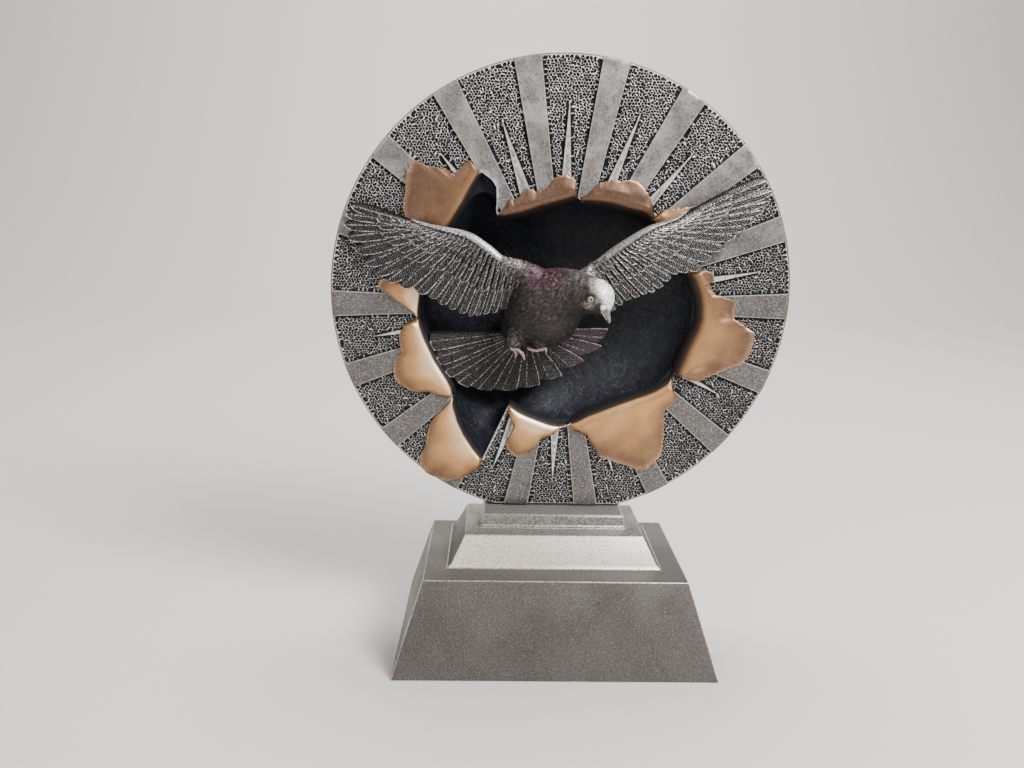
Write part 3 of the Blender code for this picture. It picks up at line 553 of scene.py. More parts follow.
def standing(points):
    """How far each place stands up on a ray or spike, and how far it is outside the nearest."""
    x, v = points[:, 0], points[:, 1] + BURST_DROP
    up = np.zeros(len(points))
    gap = np.full(len(points), FAR)
    for angle, tip, root_half, spread in marks():
        along = x * math.cos(angle) + v * math.sin(angle)
        across = np.abs(v * math.cos(angle) - x * math.sin(angle))
        over = across - root_half - spread * along
        height = 1.0
        if tip:
            over = np.where(along > tip, np.hypot(across, along - tip), over)
            height = np.clip((tip - along) / SPIKE_FADE, 0, 1)
        over = np.where(along > 0, over, FAR)
        up = np.maximum(up, np.clip(1 - over / STEP_FOOT, 0, 1) * height)
        gap = np.where(np.abs(over) < np.abs(gap), over, gap)
    return up, gap


def mark_lines():
    """Edge lines of the rays and spikes, at the top and at the foot of their sides."""
    lines = []
    for angle, tip, root_half, spread in marks():
        ahead = np.array([math.cos(angle), math.sin(angle)])
        beside = np.array([-ahead[1], ahead[0]])
        for foot in (0.0, STEP_FOOT) if tip else (-RAY_BORDER, 0.0, STEP_FOOT):
            end = tip + 2 * foot if tip else RADIUS + 4
            along = np.append(np.arange(GROUND_INNER, end - 0.3, LINE_STEP), end)[:, None]
            half = np.maximum(root_half + spread * along, 0) + foot
            left, right = ahead * along + beside * half, ahead * along - beside * half
            if tip:
                lines.append(np.vstack([left[:-1], ahead * end, right[-2::-1]]))
            else:
                lines += [left, right]
    return [line - [0, BURST_DROP] for line in lines]


def lattice(spacing, jitter, seed):
    """An uneven honeycomb of places over the disc."""
    rng = np.random.default_rng(seed)
    reach = int(RADIUS / spacing * 1.25)
    j, i = np.mgrid[-reach:reach + 1, -reach:reach + 1]
    places = np.stack([(i + 0.5 * (j % 2)) * spacing, j * spacing * 0.866], -1).reshape(-1, 2)
    return places + rng.uniform(-jitter, jitter, places.shape) * spacing


def triangles(points, edges=()):
    """Triangles over the points that keep to the given edges."""
    found = delaunay_2d_cdt([Vector(q) for q in points.tolist()], list(edges), [], 0, 1e-5, True)
    return np.array([tuple(v) for v in found[0]]), np.array(found[2]), found[3]


def build_plate(material):
    """The disc: pitted ground, rays and spikes in front, the torn hole, rim, back and dome."""
    tear = resample(np.vstack([polar(TEAR), polar(TEAR[:1])]), TEAR_POINTS)[:-1]

    def clear(points, room):
        """The points on the ground that keep their room."""
        polar_places = as_polar(points, False)
        rim = rim_radius(polar_places[:, 0]) - PLATE_EDGE
        good = (polar_places[:, 1] < rim - room) & (polar_places[:, 1] > GROUND_INNER)
        points = points[good]
        points = points[~inside(points, tear)]
        return points[nearest_on(points, tear)[1] > room]

    pits = clear(lattice(PIT_SPACING, PIT_JITTER, 11), PIT_TO_TEAR)
    pits = pits[standing(pits)[1] > STEP_FOOT + PIT_TO_RAY]
    _, cells, _ = triangles(pits)
    sides = np.linalg.norm(pits[cells] - pits[np.roll(cells, 1, 1)], axis=2).max(1)
    near = cells[sides < RIDGE_REACH * PIT_SPACING]
    ridges = clear(pits[near].mean(1), RIDGE_TO_TEAR)
    ridges = ridges[standing(ridges)[1] > STEP_FOOT + RIDGE_TO_RAY]
    flats = clear(lattice(FLAT_SPACING, FLAT_JITTER, 12), FLAT_TO_TEAR)
    flats = flats[standing(flats)[1] < -RAY_BORDER - FLAT_TO_RAY]
    turn = np.linspace(0, 2 * math.pi, RIM_POINTS + 1)[:-1]
    rim_reach = rim_radius(turn) - PLATE_EDGE
    rim_line = np.stack([rim_reach * np.cos(turn), rim_reach * np.sin(turn) - BURST_DROP], -1)
    groups = [pits, ridges, flats, tear, rim_line] + mark_lines()
    starts = np.cumsum([0] + [len(group) for group in groups])
    edges = []
    for k in range(3, len(groups)):
        numbers = np.arange(starts[k], starts[k + 1])
        edges += list(zip(numbers[:-1].tolist(), numbers[1:].tolist()))
        if k < 5:
            edges.append((int(numbers[-1]), int(numbers[0])))
    flat, faces, origin = triangles(np.vstack(groups), edges)
    middle = flat[faces].mean(1)
    spot = as_polar(middle, False)
    keep = ~inside(middle, tear) & (spot[:, 1] < rim_radius(spot[:, 0]) - PLATE_EDGE)
    used, faces = np.unique(faces[keep], return_inverse=True)
    faces = faces.reshape(-1, 3)
    flat = flat[used]
    first = np.array([min(origin[k]) if origin[k] else starts[3] for k in used])
    is_pit = first < starts[1]
    is_ridge = (first >= starts[1]) & (first < starts[2])
    x, w = flat.T
    broad = noise_field(9.0, 0.7, 12)
    fine = noise_field(2.4, 0.6, 13)
    rng = np.random.default_rng(14)
    uneven = rng.uniform(-1, 1, len(flat))
    up, gap = standing(flat)
    # At the foot of the rays and spikes: dark patina in the groove, which also stands for the rays'
    # painted shadow
    at_foot = (np.abs(gap - STEP_FOOT) < 0.03) & (up < 0.1)
    ground = np.where(is_pit, -PIT_DEPTH * (0.75 + 0.25 * uneven), 0.0)
    ground = np.where(is_ridge, 0.05 * uneven, ground)
    ground = np.where(at_foot, -0.14, ground)
    top = RAY_RELIEF + 0.035 * broad(x, w) + 0.012 * fine(x, w)
    d = ground * (1 - up) + top * up
    pit = np.where(is_pit, 0.9 + 0.1 * uneven, 0.0)
    pit = np.where(is_ridge, np.clip(0.30 * (uneven - 0.6), 0, 1), pit)
    pit = np.where(at_foot, 0.15, pit) * (1 - up)
    worn = np.where((np.abs(gap) < 0.03) & (up > 0.5), 1.0, 0.0)
    _, to_tear = nearest_on(flat, tear)
    worn = np.maximum(worn, smoothstep(0.5, 0.0, to_tear))
    d -= 0.2 * smoothstep(0.4, 0.0, to_tear)
    points = np.column_stack([flat, d])
    loops = boundary_loops(faces)
    hole, rim = loops[0], loops[-1]
    edge = as_polar(flat[hole])
    if edge[-1, 0] < edge[0, 0]:
        hole, edge = hole[::-1], edge[::-1]
    faces = faces.tolist()
    count = len(points)
    extra = []

    def ring_on(before, ring):
        """Joins a new ring of points to the one before."""
        nonlocal count
        now = np.arange(len(ring)) + count
        count += len(ring)
        extra.append(ring)
        for m in range(len(ring)):
            n = (m + 1) % len(ring)
            faces.append((before[m], before[n], now[n], now[m]))
        return now

    before = ring_on(hole, np.column_stack([flat[hole], np.full(len(hole), -SHEET_EDGE)]))
    for share, grow in CUP_RINGS:
        before = ring_on(before, bowl_ring(edge, share, grow))
    faces.append(tuple(before))
    a = as_polar(flat[rim])[:, 0]
    reach = rim_radius(a)
    before = rim
    stand = up[rim] * RAY_RELIEF
    for inset, depth, held in RIM_RINGS:
        before = ring_on(before, np.stack([
            (reach - inset) * np.cos(a), (reach - inset) * np.sin(a) - BURST_DROP,
            held * stand - depth], -1))
    firsts = list(range(0, len(rim), 6))
    coarse = a[firsts]
    last = None
    bulge = BOWL_DEPTH + BOWL_WALL - DOME_FOOT
    foot = math.asin((PLATE_THICKNESS - DOME_FOOT) / bulge)
    for step, t in enumerate(np.linspace(foot, math.pi / 2 * POLE_SHARE, DOME_RINGS)):
        size = DOME_RADIUS * math.cos(t) + (1.0 if step == 0 else 0.0)
        ring = np.stack([size * np.cos(coarse), size * np.sin(coarse) - BURST_DROP,
                         np.full(len(coarse), -DOME_FOOT - bulge * math.sin(t))], -1)
        if last is None:
            last = np.arange(len(ring)) + count
            count += len(ring)
            extra.append(ring)
            for m, begin in enumerate(firsts):
                end = firsts[m + 1] if m + 1 < len(firsts) else len(rim)
                span = [before[q % len(rim)] for q in range(begin, end + 1)]
                faces.append(tuple(span) + (last[(m + 1) % len(firsts)], last[m]))
        else:
            last = ring_on(last, ring)
    faces.append(tuple(last))
    added = np.vstack(extra)
    blank = np.zeros(len(added))
    faces = [tuple(int(v) for v in f) for f in faces]
    return make_piece("sunburst_plate", to_world(np.vstack([points, added])), faces,
                      "antique_silver_paint", material, 35, pit=np.concatenate([pit, blank + 0.22]),
                      worn=np.concatenate([worn, blank]), ray=np.concatenate([up, blank + 0.45]))


def boundary_loops(faces):
    """Open edges of the faces as closed loops of point numbers, shortest first."""
    edges = np.vstack([faces[:, [0, 1]], faces[:, [1, 2]], faces[:, [2, 0]]])
    known = set(map(tuple, edges.tolist()))
    ahead = {a: b for a, b in known if (b, a) not in known}
    left = set(ahead)
    loops = []
    while left:
        start = min(left)
        loop = [start]
        left.discard(start)
        now = ahead[start]
        while now != start:
            loop.append(now)
            left.discard(now)
            now = ahead[now]
        loops.append(np.array(loop))
    return sorted(loops, key=len)


# The flaps

def fold_line(start, end):
    """The stretch of the torn edge between two places."""
    outline = polar(TEAR)
    first = int(np.argmin(np.linalg.norm(outline - start, axis=1)))
    last = int(np.argmin(np.linalg.norm(outline - end, axis=1)))
    if last < first:
        last += len(outline)
    return np.array([outline[k % len(outline)] for k in range(first, last + 1)])


def build_flap(name, root_width, painted_lightness, outline, material):
    """A torn flap: it rises out of the bowl, rolls over the edge and lies on the disc."""
    tips = polar(outline)
    roots = fold_line(tips[0], tips[-1])
    cols = max(24, int(path_length(tips) / 0.55))
    tips = resample(tips, cols)
    jag = noise_field(1.7, 0.6, 31)
    away = tips - np.array([0.0, -BURST_DROP])
    away /= np.linalg.norm(away, axis=1)[:, None]
    walk = np.linspace(0, 1, cols)
    ends = smoothstep(0, 0.06, walk) * smoothstep(1, 0.94, walk)
    tips = tips + away * (0.16 * ends * jag(tips[:, 0], tips[:, 1]))[:, None]
    roots = resample(roots, cols)
    for _ in range(3):
        roots[1:-1] = (roots[:-2] + 2 * roots[1:-1] + roots[2:]) / 4
    inward = np.array([0.0, -BURST_DROP]) - roots
    inward /= np.linalg.norm(inward, axis=1)[:, None]
    length = np.linalg.norm(tips - roots, axis=1)
    stand = np.clip(0.35 + length / 8.0, 0, 1) * (0.35 + 0.65 * ends)
    roll = np.clip(length / 5.0, 0.12, 1.0)
    sway = noise_field(11.0, 0.6, 32)
    dent = noise_field(4.0, 0.6, 33)
    crest, crest_height = FLAP_ROLL[-1]
    shares = np.linspace(0.0, 1.0, FLAP_ROWS + 1)[1:]
    top, under, root_mask, worn = [], [], [], []
    direction = (tips - roots) / np.maximum(length, 1e-6)[:, None]
    for out, height in FLAP_ROLL:
        spot = roots + (inward * -out if out < 0 else direction * out * roll[:, None])
        level = np.where(height > 0, height * stand, height)
        top.append(np.column_stack([spot, level]))
        under.append(np.column_stack([spot + inward * -0.35, level - 0.9]))
        root_mask.append(np.full(cols, out))
        worn.append(np.zeros(cols))
    start = crest * roll
    for share in shares:
        q = start + (length - start) * share
        spot = roots + direction * q[:, None]
        fall = crest_height + (FLAP_TIP_HEIGHT - crest_height) * share ** 1.3
        wave = 0.26 * sway(spot[:, 0], spot[:, 1]) + 0.03 * dent(spot[:, 0], spot[:, 1])
        wave = wave * min(1.0, share * 3) * ends * np.clip(length / 12, 0.1, 1)
        edge_drop = 0.16 * max(0.0, (share - 0.94) / 0.06)
        level = fall * stand + wave - edge_drop
        level = np.maximum(level, FLAP_LOWEST)
        top.append(np.column_stack([spot, level]))
        thick = 0.75 if share < 0.93 else 0.55
        under.append(np.column_stack([spot, np.maximum(level - thick, 0.12)]))
        root_mask.append(q)
        worn.append(np.full(cols, max(0.0, (share - 0.9) / 0.1)))
    points = np.vstack([np.vstack(top), np.vstack(under)])
    rows = len(top)
    reach = np.concatenate(root_mask * 2)
    root = 1 - smoothstep(-0.6, 1.0, reach / root_width)
    edge = np.concatenate(worn * 2)
    # Painted light and shade: the flap's painted lightness, with a painted highlight near the fold
    # that darkens towards the outer edge
    outward = np.clip(reach / np.tile(length, 2 * rows), 0, 1)
    steep = 0.30 + 1.3 * painted_lightness ** 2
    tone = painted_lightness + steep * (0.38 - outward)
    return make_piece("flap_" + name, to_world(points), sheet_faces(rows, cols), "copper_paint",
                      material, 50, root=root, worn=edge, tone=tone)


# Feathers

def feather(root, tip, width, lifts, tilt, bend, rows, across, outline, arch=0.15, slant=0.0):
    """One feather blade as top and bottom grids, with the shares that its paint follows."""
    root = np.asarray(root, float)
    tip = np.asarray(tip, float)
    axis = tip - root
    length = float(np.linalg.norm(axis))
    axis = axis / length
    side = np.array([-axis[1], axis[0], 0.0])
    side /= np.linalg.norm(side)
    t = np.linspace(0, 1, rows)[:, None]
    s = np.array(across)[None, :]
    neck, widest, round_share, point = outline
    half = width / 2 * (neck + (1 - neck) * smoothstep(0, widest, t))
    end = np.clip((t - (1 - round_share)) / round_share, 0, 1)
    half = half * np.maximum(1 - end ** point, 0.0) ** 0.5
    half = np.maximum(half, 0.05)
    u = s * half
    along = t * length + slant * u * smoothstep(0.4, 1.0, t)
    place = (root[None, None, :] + axis[None, None, :] * along[..., None]
             + side[None, None, :] * (u + bend * length * t * (1 - t) * 4)[..., None])
    lift = lifts[0] + (lifts[1] - lifts[0]) * t
    camber = arch * width * (1 - s ** 2) * half / (width / 2)
    shaft = 0.12 * np.exp(-(s / 0.13) ** 2)
    lip = 0.10 * smoothstep(0.80, 1.0, s * np.sign(tilt))
    top = place.copy()
    top[..., 2] += lift + camber + shaft + lip + tilt * s
    bottom = place.copy()
    bottom[..., 2] += lift + tilt * s - FEATHER_THICKNESS
    raised = s * np.sign(tilt)
    # Painted shade on each feather's tucked side and near its root, where the feathers over it
    # overlap
    groove = np.maximum(smoothstep(-0.45, -0.95, raised), smoothstep(0.30, 0.0, t) * 0.6)
    rim_gap = np.minimum((1 - raised) * half, (1 - t) * length)
    data = np.stack([along, np.abs(u), rim_gap, groove], -1)
    return top, bottom, data


class Blades:
    """Collects feather blades into the points and faces of one piece."""

    def __init__(self):
        self.points = []
        self.data = []
        self.faces = []
        self.count = 0

    def add(self, top, bottom, data):
        """Adds one blade."""
        rows, cols = top.shape[:2]
        self.points += [top.reshape(-1, 3), bottom.reshape(-1, 3)]
        self.data += [data.reshape(-1, 4)] * 2
        self.faces += sheet_faces(rows, cols, self.count)
        self.count += 2 * rows * cols

    def finish(self, name, slot, material):
        """Makes the piece of all its blades."""
        data = np.vstack(self.data)
        return make_piece(name, to_world(np.vstack(self.points)), self.faces, slot, material, 55,
                          vane=data[:, :3], groove=data[:, 3])


ACROSS = [-1, -0.9, -0.7, -0.4, -0.15, 0, 0.15, 0.4, 0.7, 0.9, 1]
# Rows of coverts: where each row starts and ends along the flight feathers, lift at its root and
# at its tips, feathers for each flight feather, length of its rounded tip
COVERTS = [
    (0.10, 0.57, 1.45, 1.00, 1.0, 0.16),
    (0.06, 0.37, 2.10, 1.75, 1.0, 0.22),
    (0.03, 0.235, 2.60, 2.35, 1.2, 0.40),
    (0.01, 0.145, 2.90, 2.75, 1.35, 0.50),
]


def build_wing(side, material):
    """Flight feathers, rows of coverts and the smooth leading edge."""
    bone, tips = WINGS[side]
    bone_path = smooth_path(bone, 8)
    tips = np.array(tips, float)
    count = len(tips)
    anchors = resample(bone_path, 2 * count + 1)[1::2]
    turn = 1.0 if side == "left" else -1.0
    rng = np.random.default_rng(41 if side == "left" else 42)
    gaps = np.linalg.norm(np.diff(tips, axis=0), axis=1)
    widths = np.concatenate([[gaps[0]], (gaps[:-1] + gaps[1:]) / 2, [gaps[-1]]])
    flight = Blades()
    for k in range(count):
        reach = tips[k] - anchors[k]
        length = float(np.linalg.norm(reach))
        hand = smoothstep(10, 14, k)
        start = anchors[k] + reach * 0.10
        flight.add(*feather(start, tips[k], widths[k] * (1.18 - 0.08 * hand), (0.35, 0.35),
                            FLIGHT_TILT * turn, rng.uniform(-0.008, 0.008),
                            max(16, int(length * 0.9 / 0.45)), ACROSS,
                            (0.55, 0.6, 0.10 + 0.16 * hand, 2.2)))
    flight.finish("%s_wing_flight_feathers" % side, "pigeon_paint", material)
    coverts = Blades()
    for low, high, lift_root, lift_tip, share, rounded in COVERTS:
        number = int(round(count * share))
        spots = np.linspace(0, count - 1, number)
        for spot in spots:
            anchor, tip, width = (
                np.array([np.interp(spot, range(count), column) for column in anchors.T]),
                np.array([np.interp(spot, range(count), column) for column in tips.T]),
                np.interp(spot, range(count), widths) / share)
            reach = tip - anchor
            start = anchor + reach * low
            end = anchor + reach * (high + rng.uniform(-0.012, 0.012))
            near = max(width * (high * 0.70 + 0.32), 1.1)
            length = path_length([start, end])
            coverts.add(*feather(start, end, near * 1.12, (lift_root, lift_tip),
                                 COVERT_TILT * turn, 0.0, max(8, int(length / 0.4)), ACROSS,
                                 (0.8, 0.5, min(0.5, rounded + 0.5 / length), 2.2)))
    coverts.finish("%s_wing_coverts" % side, "pigeon_paint", material)
    sections = resample(bone_path, WING_EDGE_SECTIONS)
    walk = np.linspace(0, 1, WING_EDGE_SECTIONS)
    radii = np.interp(walk, WING_EDGE_SHARES, WING_EDGE_RADII)
    edge = add_tube("%s_wing_edge" % side, sections - [0, 0, 0.2], radii, WING_EDGE_SIDES, 1)
    share = np.repeat(walk, WING_EDGE_SIDES).astype(np.float32)
    edge.data.attributes.new("along", "FLOAT", "POINT").data.foreach_set("value", share)
    smooth_and_dress(edge, MATERIALS["wing_edge"])


def build_tail(material):
    """Tail fan: broad feathers lapped one over the next, cut off along the fan's edge."""
    root = np.array(TAIL_ROOT)
    corners = np.array(TAIL_CORNERS)
    blades = Blades()
    across = [-1, -0.92, -0.74, -0.52, -0.30, -0.12, 0, 0.12, 0.30, 0.52, 0.74, 0.92, 1]
    for k, (corner, following) in enumerate(zip(corners, corners[1:])):
        tip = (corner + following) / 2
        start = root + (tip - root) * 0.12
        length = path_length([start, tip])
        ahead = (tip - start)[:2] / np.linalg.norm((tip - start)[:2])
        beside = np.array([-ahead[1], ahead[0]])
        end = (corner - following)[:2]
        width = end @ beside
        blades.add(*feather(start, tip, width * 1.12, (-0.2, 0.1), FLIGHT_TILT, 0.0,
                            int(length / 0.4), across, (0.26, 1.0, 0.05, 3.0), 0.045,
                            end @ ahead / width + (0.28 if k < 4 else 0.08)))
    blades.finish("tail_feathers", "pigeon_paint", material)


# The plinth

def build_plinth(pewter, worn_edge, panel, lit_pewter):
    """Base, tier and block drawn up level by level from the footprint, with worn edges and a
    lighter copy of the pewter on the tier's top and the block as painted light.
    """
    base_width = (plinth_high.x - plinth_low.x) / MM
    base_depth = (plinth_high.y - plinth_low.y) / MM
    middle = (plinth_high.x + plinth_low.x) / 2
    levels = [(0.0, base_width, base_depth / 2, -base_depth / 2)] + PLINTH_LEVELS
    bpy.ops.object.select_all(action="DESELECT")
    bpy.ops.mesh.primitive_plane_add(size=1.0, location=(middle, 0, 0))
    plinth = bpy.context.object
    plinth.name = "stepped_plinth"
    plinth.scale = (base_width * MM, base_depth * MM, 1.0)
    bpy.ops.object.transform_apply(location=True, rotation=True, scale=True)
    bpy.ops.object.mode_set(mode="EDIT")
    bpy.ops.mesh.select_all(action="SELECT")
    for low, high in zip(levels, levels[1:]):
        shift = (high[2] + high[3] - low[2] - low[3]) / 2 * MM
        bpy.ops.mesh.extrude_region_move(
            TRANSFORM_OT_translate={"value": (0, shift, (high[0] - low[0]) * MM)})
        bpy.ops.transform.resize(
            value=(high[1] / low[1], (high[2] - high[3]) / (low[2] - low[3]), 1.0),
            center_override=(middle, (high[2] + high[3]) / 2 * MM, high[0] * MM))
    bpy.ops.mesh.select_all(action="SELECT")
    bpy.ops.mesh.normals_make_consistent(inside=False)
    bpy.ops.object.mode_set(mode="OBJECT")
    for material in (pewter, worn_edge, panel, lit_pewter):
        plinth.data.materials.append(material)
    edges = plinth.modifiers.new("worn_edges", "BEVEL")
    edges.width = 0.42 * MM
    edges.segments = 3
    edges.limit_method = "ANGLE"
    edges.angle_limit = math.radians(28)
    edges.material = 1
    bpy.ops.object.modifier_apply(modifier="worn_edges")
    # The tier's sloping front takes the panel's silver; the tier's top and the block take a lighter
    # copy of the pewter, as painted light
    for face in plinth.data.polygons:
        z = face.center.z / MM
        if face.normal.y < -0.6 and TIER_FOOT < z < TIER_TOP and face.area > 60 * MM ** 2:
            face.material_index = 2
        elif z > TIER_TOP - 0.1 and face.material_index == 0:
            face.material_index = 3
    bpy.ops.object.shade_smooth_by_angle(angle=math.radians(30))
    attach(plinth, "root")
    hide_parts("plinth")


# Body, head and feet

def add_ball(place, radius, stretch, aim, segments=32):
    """A ball on the relief: radius in millimetres, stretched along and across its aim."""
    bpy.ops.object.select_all(action="DESELECT")
    bpy.ops.mesh.primitive_uv_sphere_add(segments=segments, ring_count=segments // 2,
                                         radius=radius * MM, location=to_world(place))
    ball = bpy.context.object
    ball.scale = stretch
    ahead = Vector((aim[0], -aim[2], aim[1]))
    ball.rotation_euler = ahead.to_track_quat("Z", "Y").to_euler()
    bpy.ops.object.transform_apply(location=True, rotation=True, scale=True)
    return ball


def add_tube(name, places, radii, sides, steps):
    """A closed tube through relief places, with its own radius at each."""
    path = smooth_path(np.column_stack([places, radii]), steps)
    points = []
    for k, row in enumerate(path):
        ahead = Vector(path[min(k + 1, len(path) - 1)][:3] - path[max(k - 1, 0)][:3]).normalized()
        turn = ahead.to_track_quat("Z", "Y").to_matrix()
        for m in range(sides):
            a = 2 * math.pi * m / sides
            spoke = turn @ Vector((math.cos(a), math.sin(a), 0)) * row[3]
            points.append(row[:3] + np.array(spoke))
    faces = [tuple(range(sides)), tuple(range((len(path) - 1) * sides, len(path) * sides))]
    for k in range(len(path) - 1):
        for m in range(sides):
            n = (m + 1) % sides
            faces.append((k * sides + m, k * sides + n, (k + 1) * sides + n, (k + 1) * sides + m))
    mesh = bpy.data.meshes.new(name)
    mesh.from_pydata([tuple(p) for p in to_world(points).tolist()], [], faces)
    obj = bpy.data.objects.new(name, mesh)
    bpy.context.scene.collection.objects.link(obj)
    bm = bmesh.new()
    bm.from_mesh(mesh)
    bmesh.ops.recalc_face_normals(bm, faces=bm.faces)
    bm.to_mesh(mesh)
    bm.free()
    return obj


def fuse(name, parts, voxel, smooth_rounds):
    """Joins the parts and turns them into one even skin."""
    bpy.ops.object.select_all(action="DESELECT")
    for part in parts:
        part.select_set(True)
    bpy.context.view_layer.objects.active = parts[0]
    bpy.ops.object.join()
    obj = bpy.context.object
    obj.name = name
    skin = obj.modifiers.new("skin", "REMESH")
    skin.mode = "VOXEL"
    skin.voxel_size = voxel * MM
    bpy.ops.object.modifier_apply(modifier="skin")
    soften = obj.modifiers.new("soften", "SMOOTH")
    soften.factor = 0.5
    soften.iterations = smooth_rounds
    bpy.ops.object.modifier_apply(modifier="soften")
    bpy.ops.object.shade_smooth()
    return obj


def from_world(obj):
    """The object's points as relief places and as world places."""
    co = np.zeros(len(obj.data.vertices) * 3)
    obj.data.vertices.foreach_get("co", co)
    co = co.reshape(-1, 3)
    return np.stack([(co[:, 0] - CENTER_X) / MM, (co[:, 2] - CENTER_Z) / MM,
                     (FRONT_Y - co[:, 1]) / MM], -1), co


def build_pigeon():
    """Body, head, eye, cere, beak, thighs and feet."""
    sections = np.array(BODY)
    parts = [add_tube("body_skin", sections[:, :3], sections[:, 3], 32, 6),
             add_tube("shoulders", [p[:3] for p in SHOULDERS], [p[3] for p in SHOULDERS], 28, 6)]
    aim = np.array(BEAK_AIM)
    aim = aim / np.linalg.norm(aim)
    head = np.array(HEAD)
    parts.append(add_ball(HEAD, HEAD_RADIUS, (0.98, 0.98, 1.1), BEAK_AIM))
    parts.append(add_tube("face", [head + aim * 2.0, head + aim * 4.4, head + aim * 6.4],
                          [4.5, 3.1, 1.6], 24, 4))
    for hip, knee, size in THIGHS:
        hip, knee = np.array(hip), np.array(knee)
        stretch = np.linalg.norm(knee - hip) * 0.8 / size
        parts.append(add_ball((hip + knee) / 2, size, (1, 1, max(stretch, 1)), knee - hip))
    body = fuse("pigeon_body", parts, 0.34, 14)
    places, co = from_world(body)
    normals = np.zeros(len(co) * 3)
    body.data.vertices.foreach_get("normal", normals)
    normals = normals.reshape(-1, 3)
    down_a = noise_field(1.5, 0.5, 51)
    down_b = noise_field(1.0, 0.5, 52)
    slant = places[:, 0] * 0.8 + places[:, 1] * 0.6
    side = places[:, 1] * 0.8 - places[:, 0] * 0.6
    fluff = (down_a(slant * 0.5 + places[:, 2] * 0.3, side + places[:, 2] * 0.3)
             + 0.7 * down_b(slant * 0.6 - places[:, 2] * 0.4, side - places[:, 2] * 0.5))
    on_head = smoothstep(7.2, 5.6, np.linalg.norm(places - head, axis=1))
    co = co + normals * (fluff * DOWN_HEIGHT * (1 - 0.75 * on_head) * MM)[:, None]
    body.data.vertices.foreach_set("co", co.ravel())
    toward = (places - head) @ np.array(CROWN_HIGHLIGHT_AIM) / HEAD_RADIUS
    masks = {"fluff": fluff, "crown": on_head * smoothstep(-0.40, 0.90, toward)}

    for key, patches in PATCHES.items():
        shares = [strength * smoothstep(1.0, 0.3, np.linalg.norm(
            (places - place) * stretch, axis=1) / radius)
                  for strength, place, stretch, radius in patches]
        masks[key] = sum(shares) if key in ("rose", "pale") else np.max(shares, axis=0)
    for key, value in masks.items():
        body.data.attributes.new(key, "FLOAT", "POINT").data.foreach_set(
            "value", np.clip(value, -4, 4).astype(np.float32))
    body.data.update()
    dress(body, MATERIALS["plumage"])
    ring = add_ball(EYE, 1.15, (1, 0.8, 0.45), EYE_AIM, 24)
    ring.name = "eye_ring"
    smooth_and_dress(ring, MATERIALS["eye_ring"])
    pupil = add_ball(np.array(EYE) + [0.0, -0.05, 0.30], 0.50, (1, 0.85, 0.6), EYE_AIM, 24)
    pupil.name = "eye"
    smooth_and_dress(pupil, MATERIALS["eye"])
    nose = np.array(NOSE)
    cere = [add_ball(nose + [-0.80, 0.30, 0.2], 0.78, (1, 1, 1.4), BEAK_AIM, 20),
            add_ball(nose + [0.85, 0.40, 0.0], 0.78, (1, 1, 1.4), BEAK_AIM, 20)]
    lump = fuse("cere", cere, 0.2, 3)
    dress(lump, MATERIALS["cere"])
    tip = np.array(BEAK_TIP)
    for name, offset, sizes, point in (
            ("beak_upper", (0.25, 0.1, 0.1), (1.0, 0.86, 0.52, 0.14), tip),
            ("beak_lower", (-0.85, -0.45, -0.35), (0.72, 0.60, 0.40, 0.12),
             tip + [-0.65, 0.75, -0.4])):
        base = nose + offset
        bill = add_tube(name, [base, base + (point - base) * 0.4 + [0.1, 0.1, 0.25],
                               base + (point - base) * 0.8 + [0.12, 0.1, 0.25], point],
                        sizes, 16, 5)
        smooth_and_dress(bill, MATERIALS["beak"])
    for k, toe in enumerate(TOES):
        count = len(toe)
        foot = add_tube("foot_%d" % (k + 1), toe, [0.50] * (count - 1) + [0.24], 12, 5)
        smooth_and_dress(foot, MATERIALS["foot"])


def smooth_and_dress(obj, material):
    """Smooth shading and paint for a piece of the pigeon."""
    for face in obj.data.polygons:
        face.use_smooth = True
    dress(obj, material)


# Materials

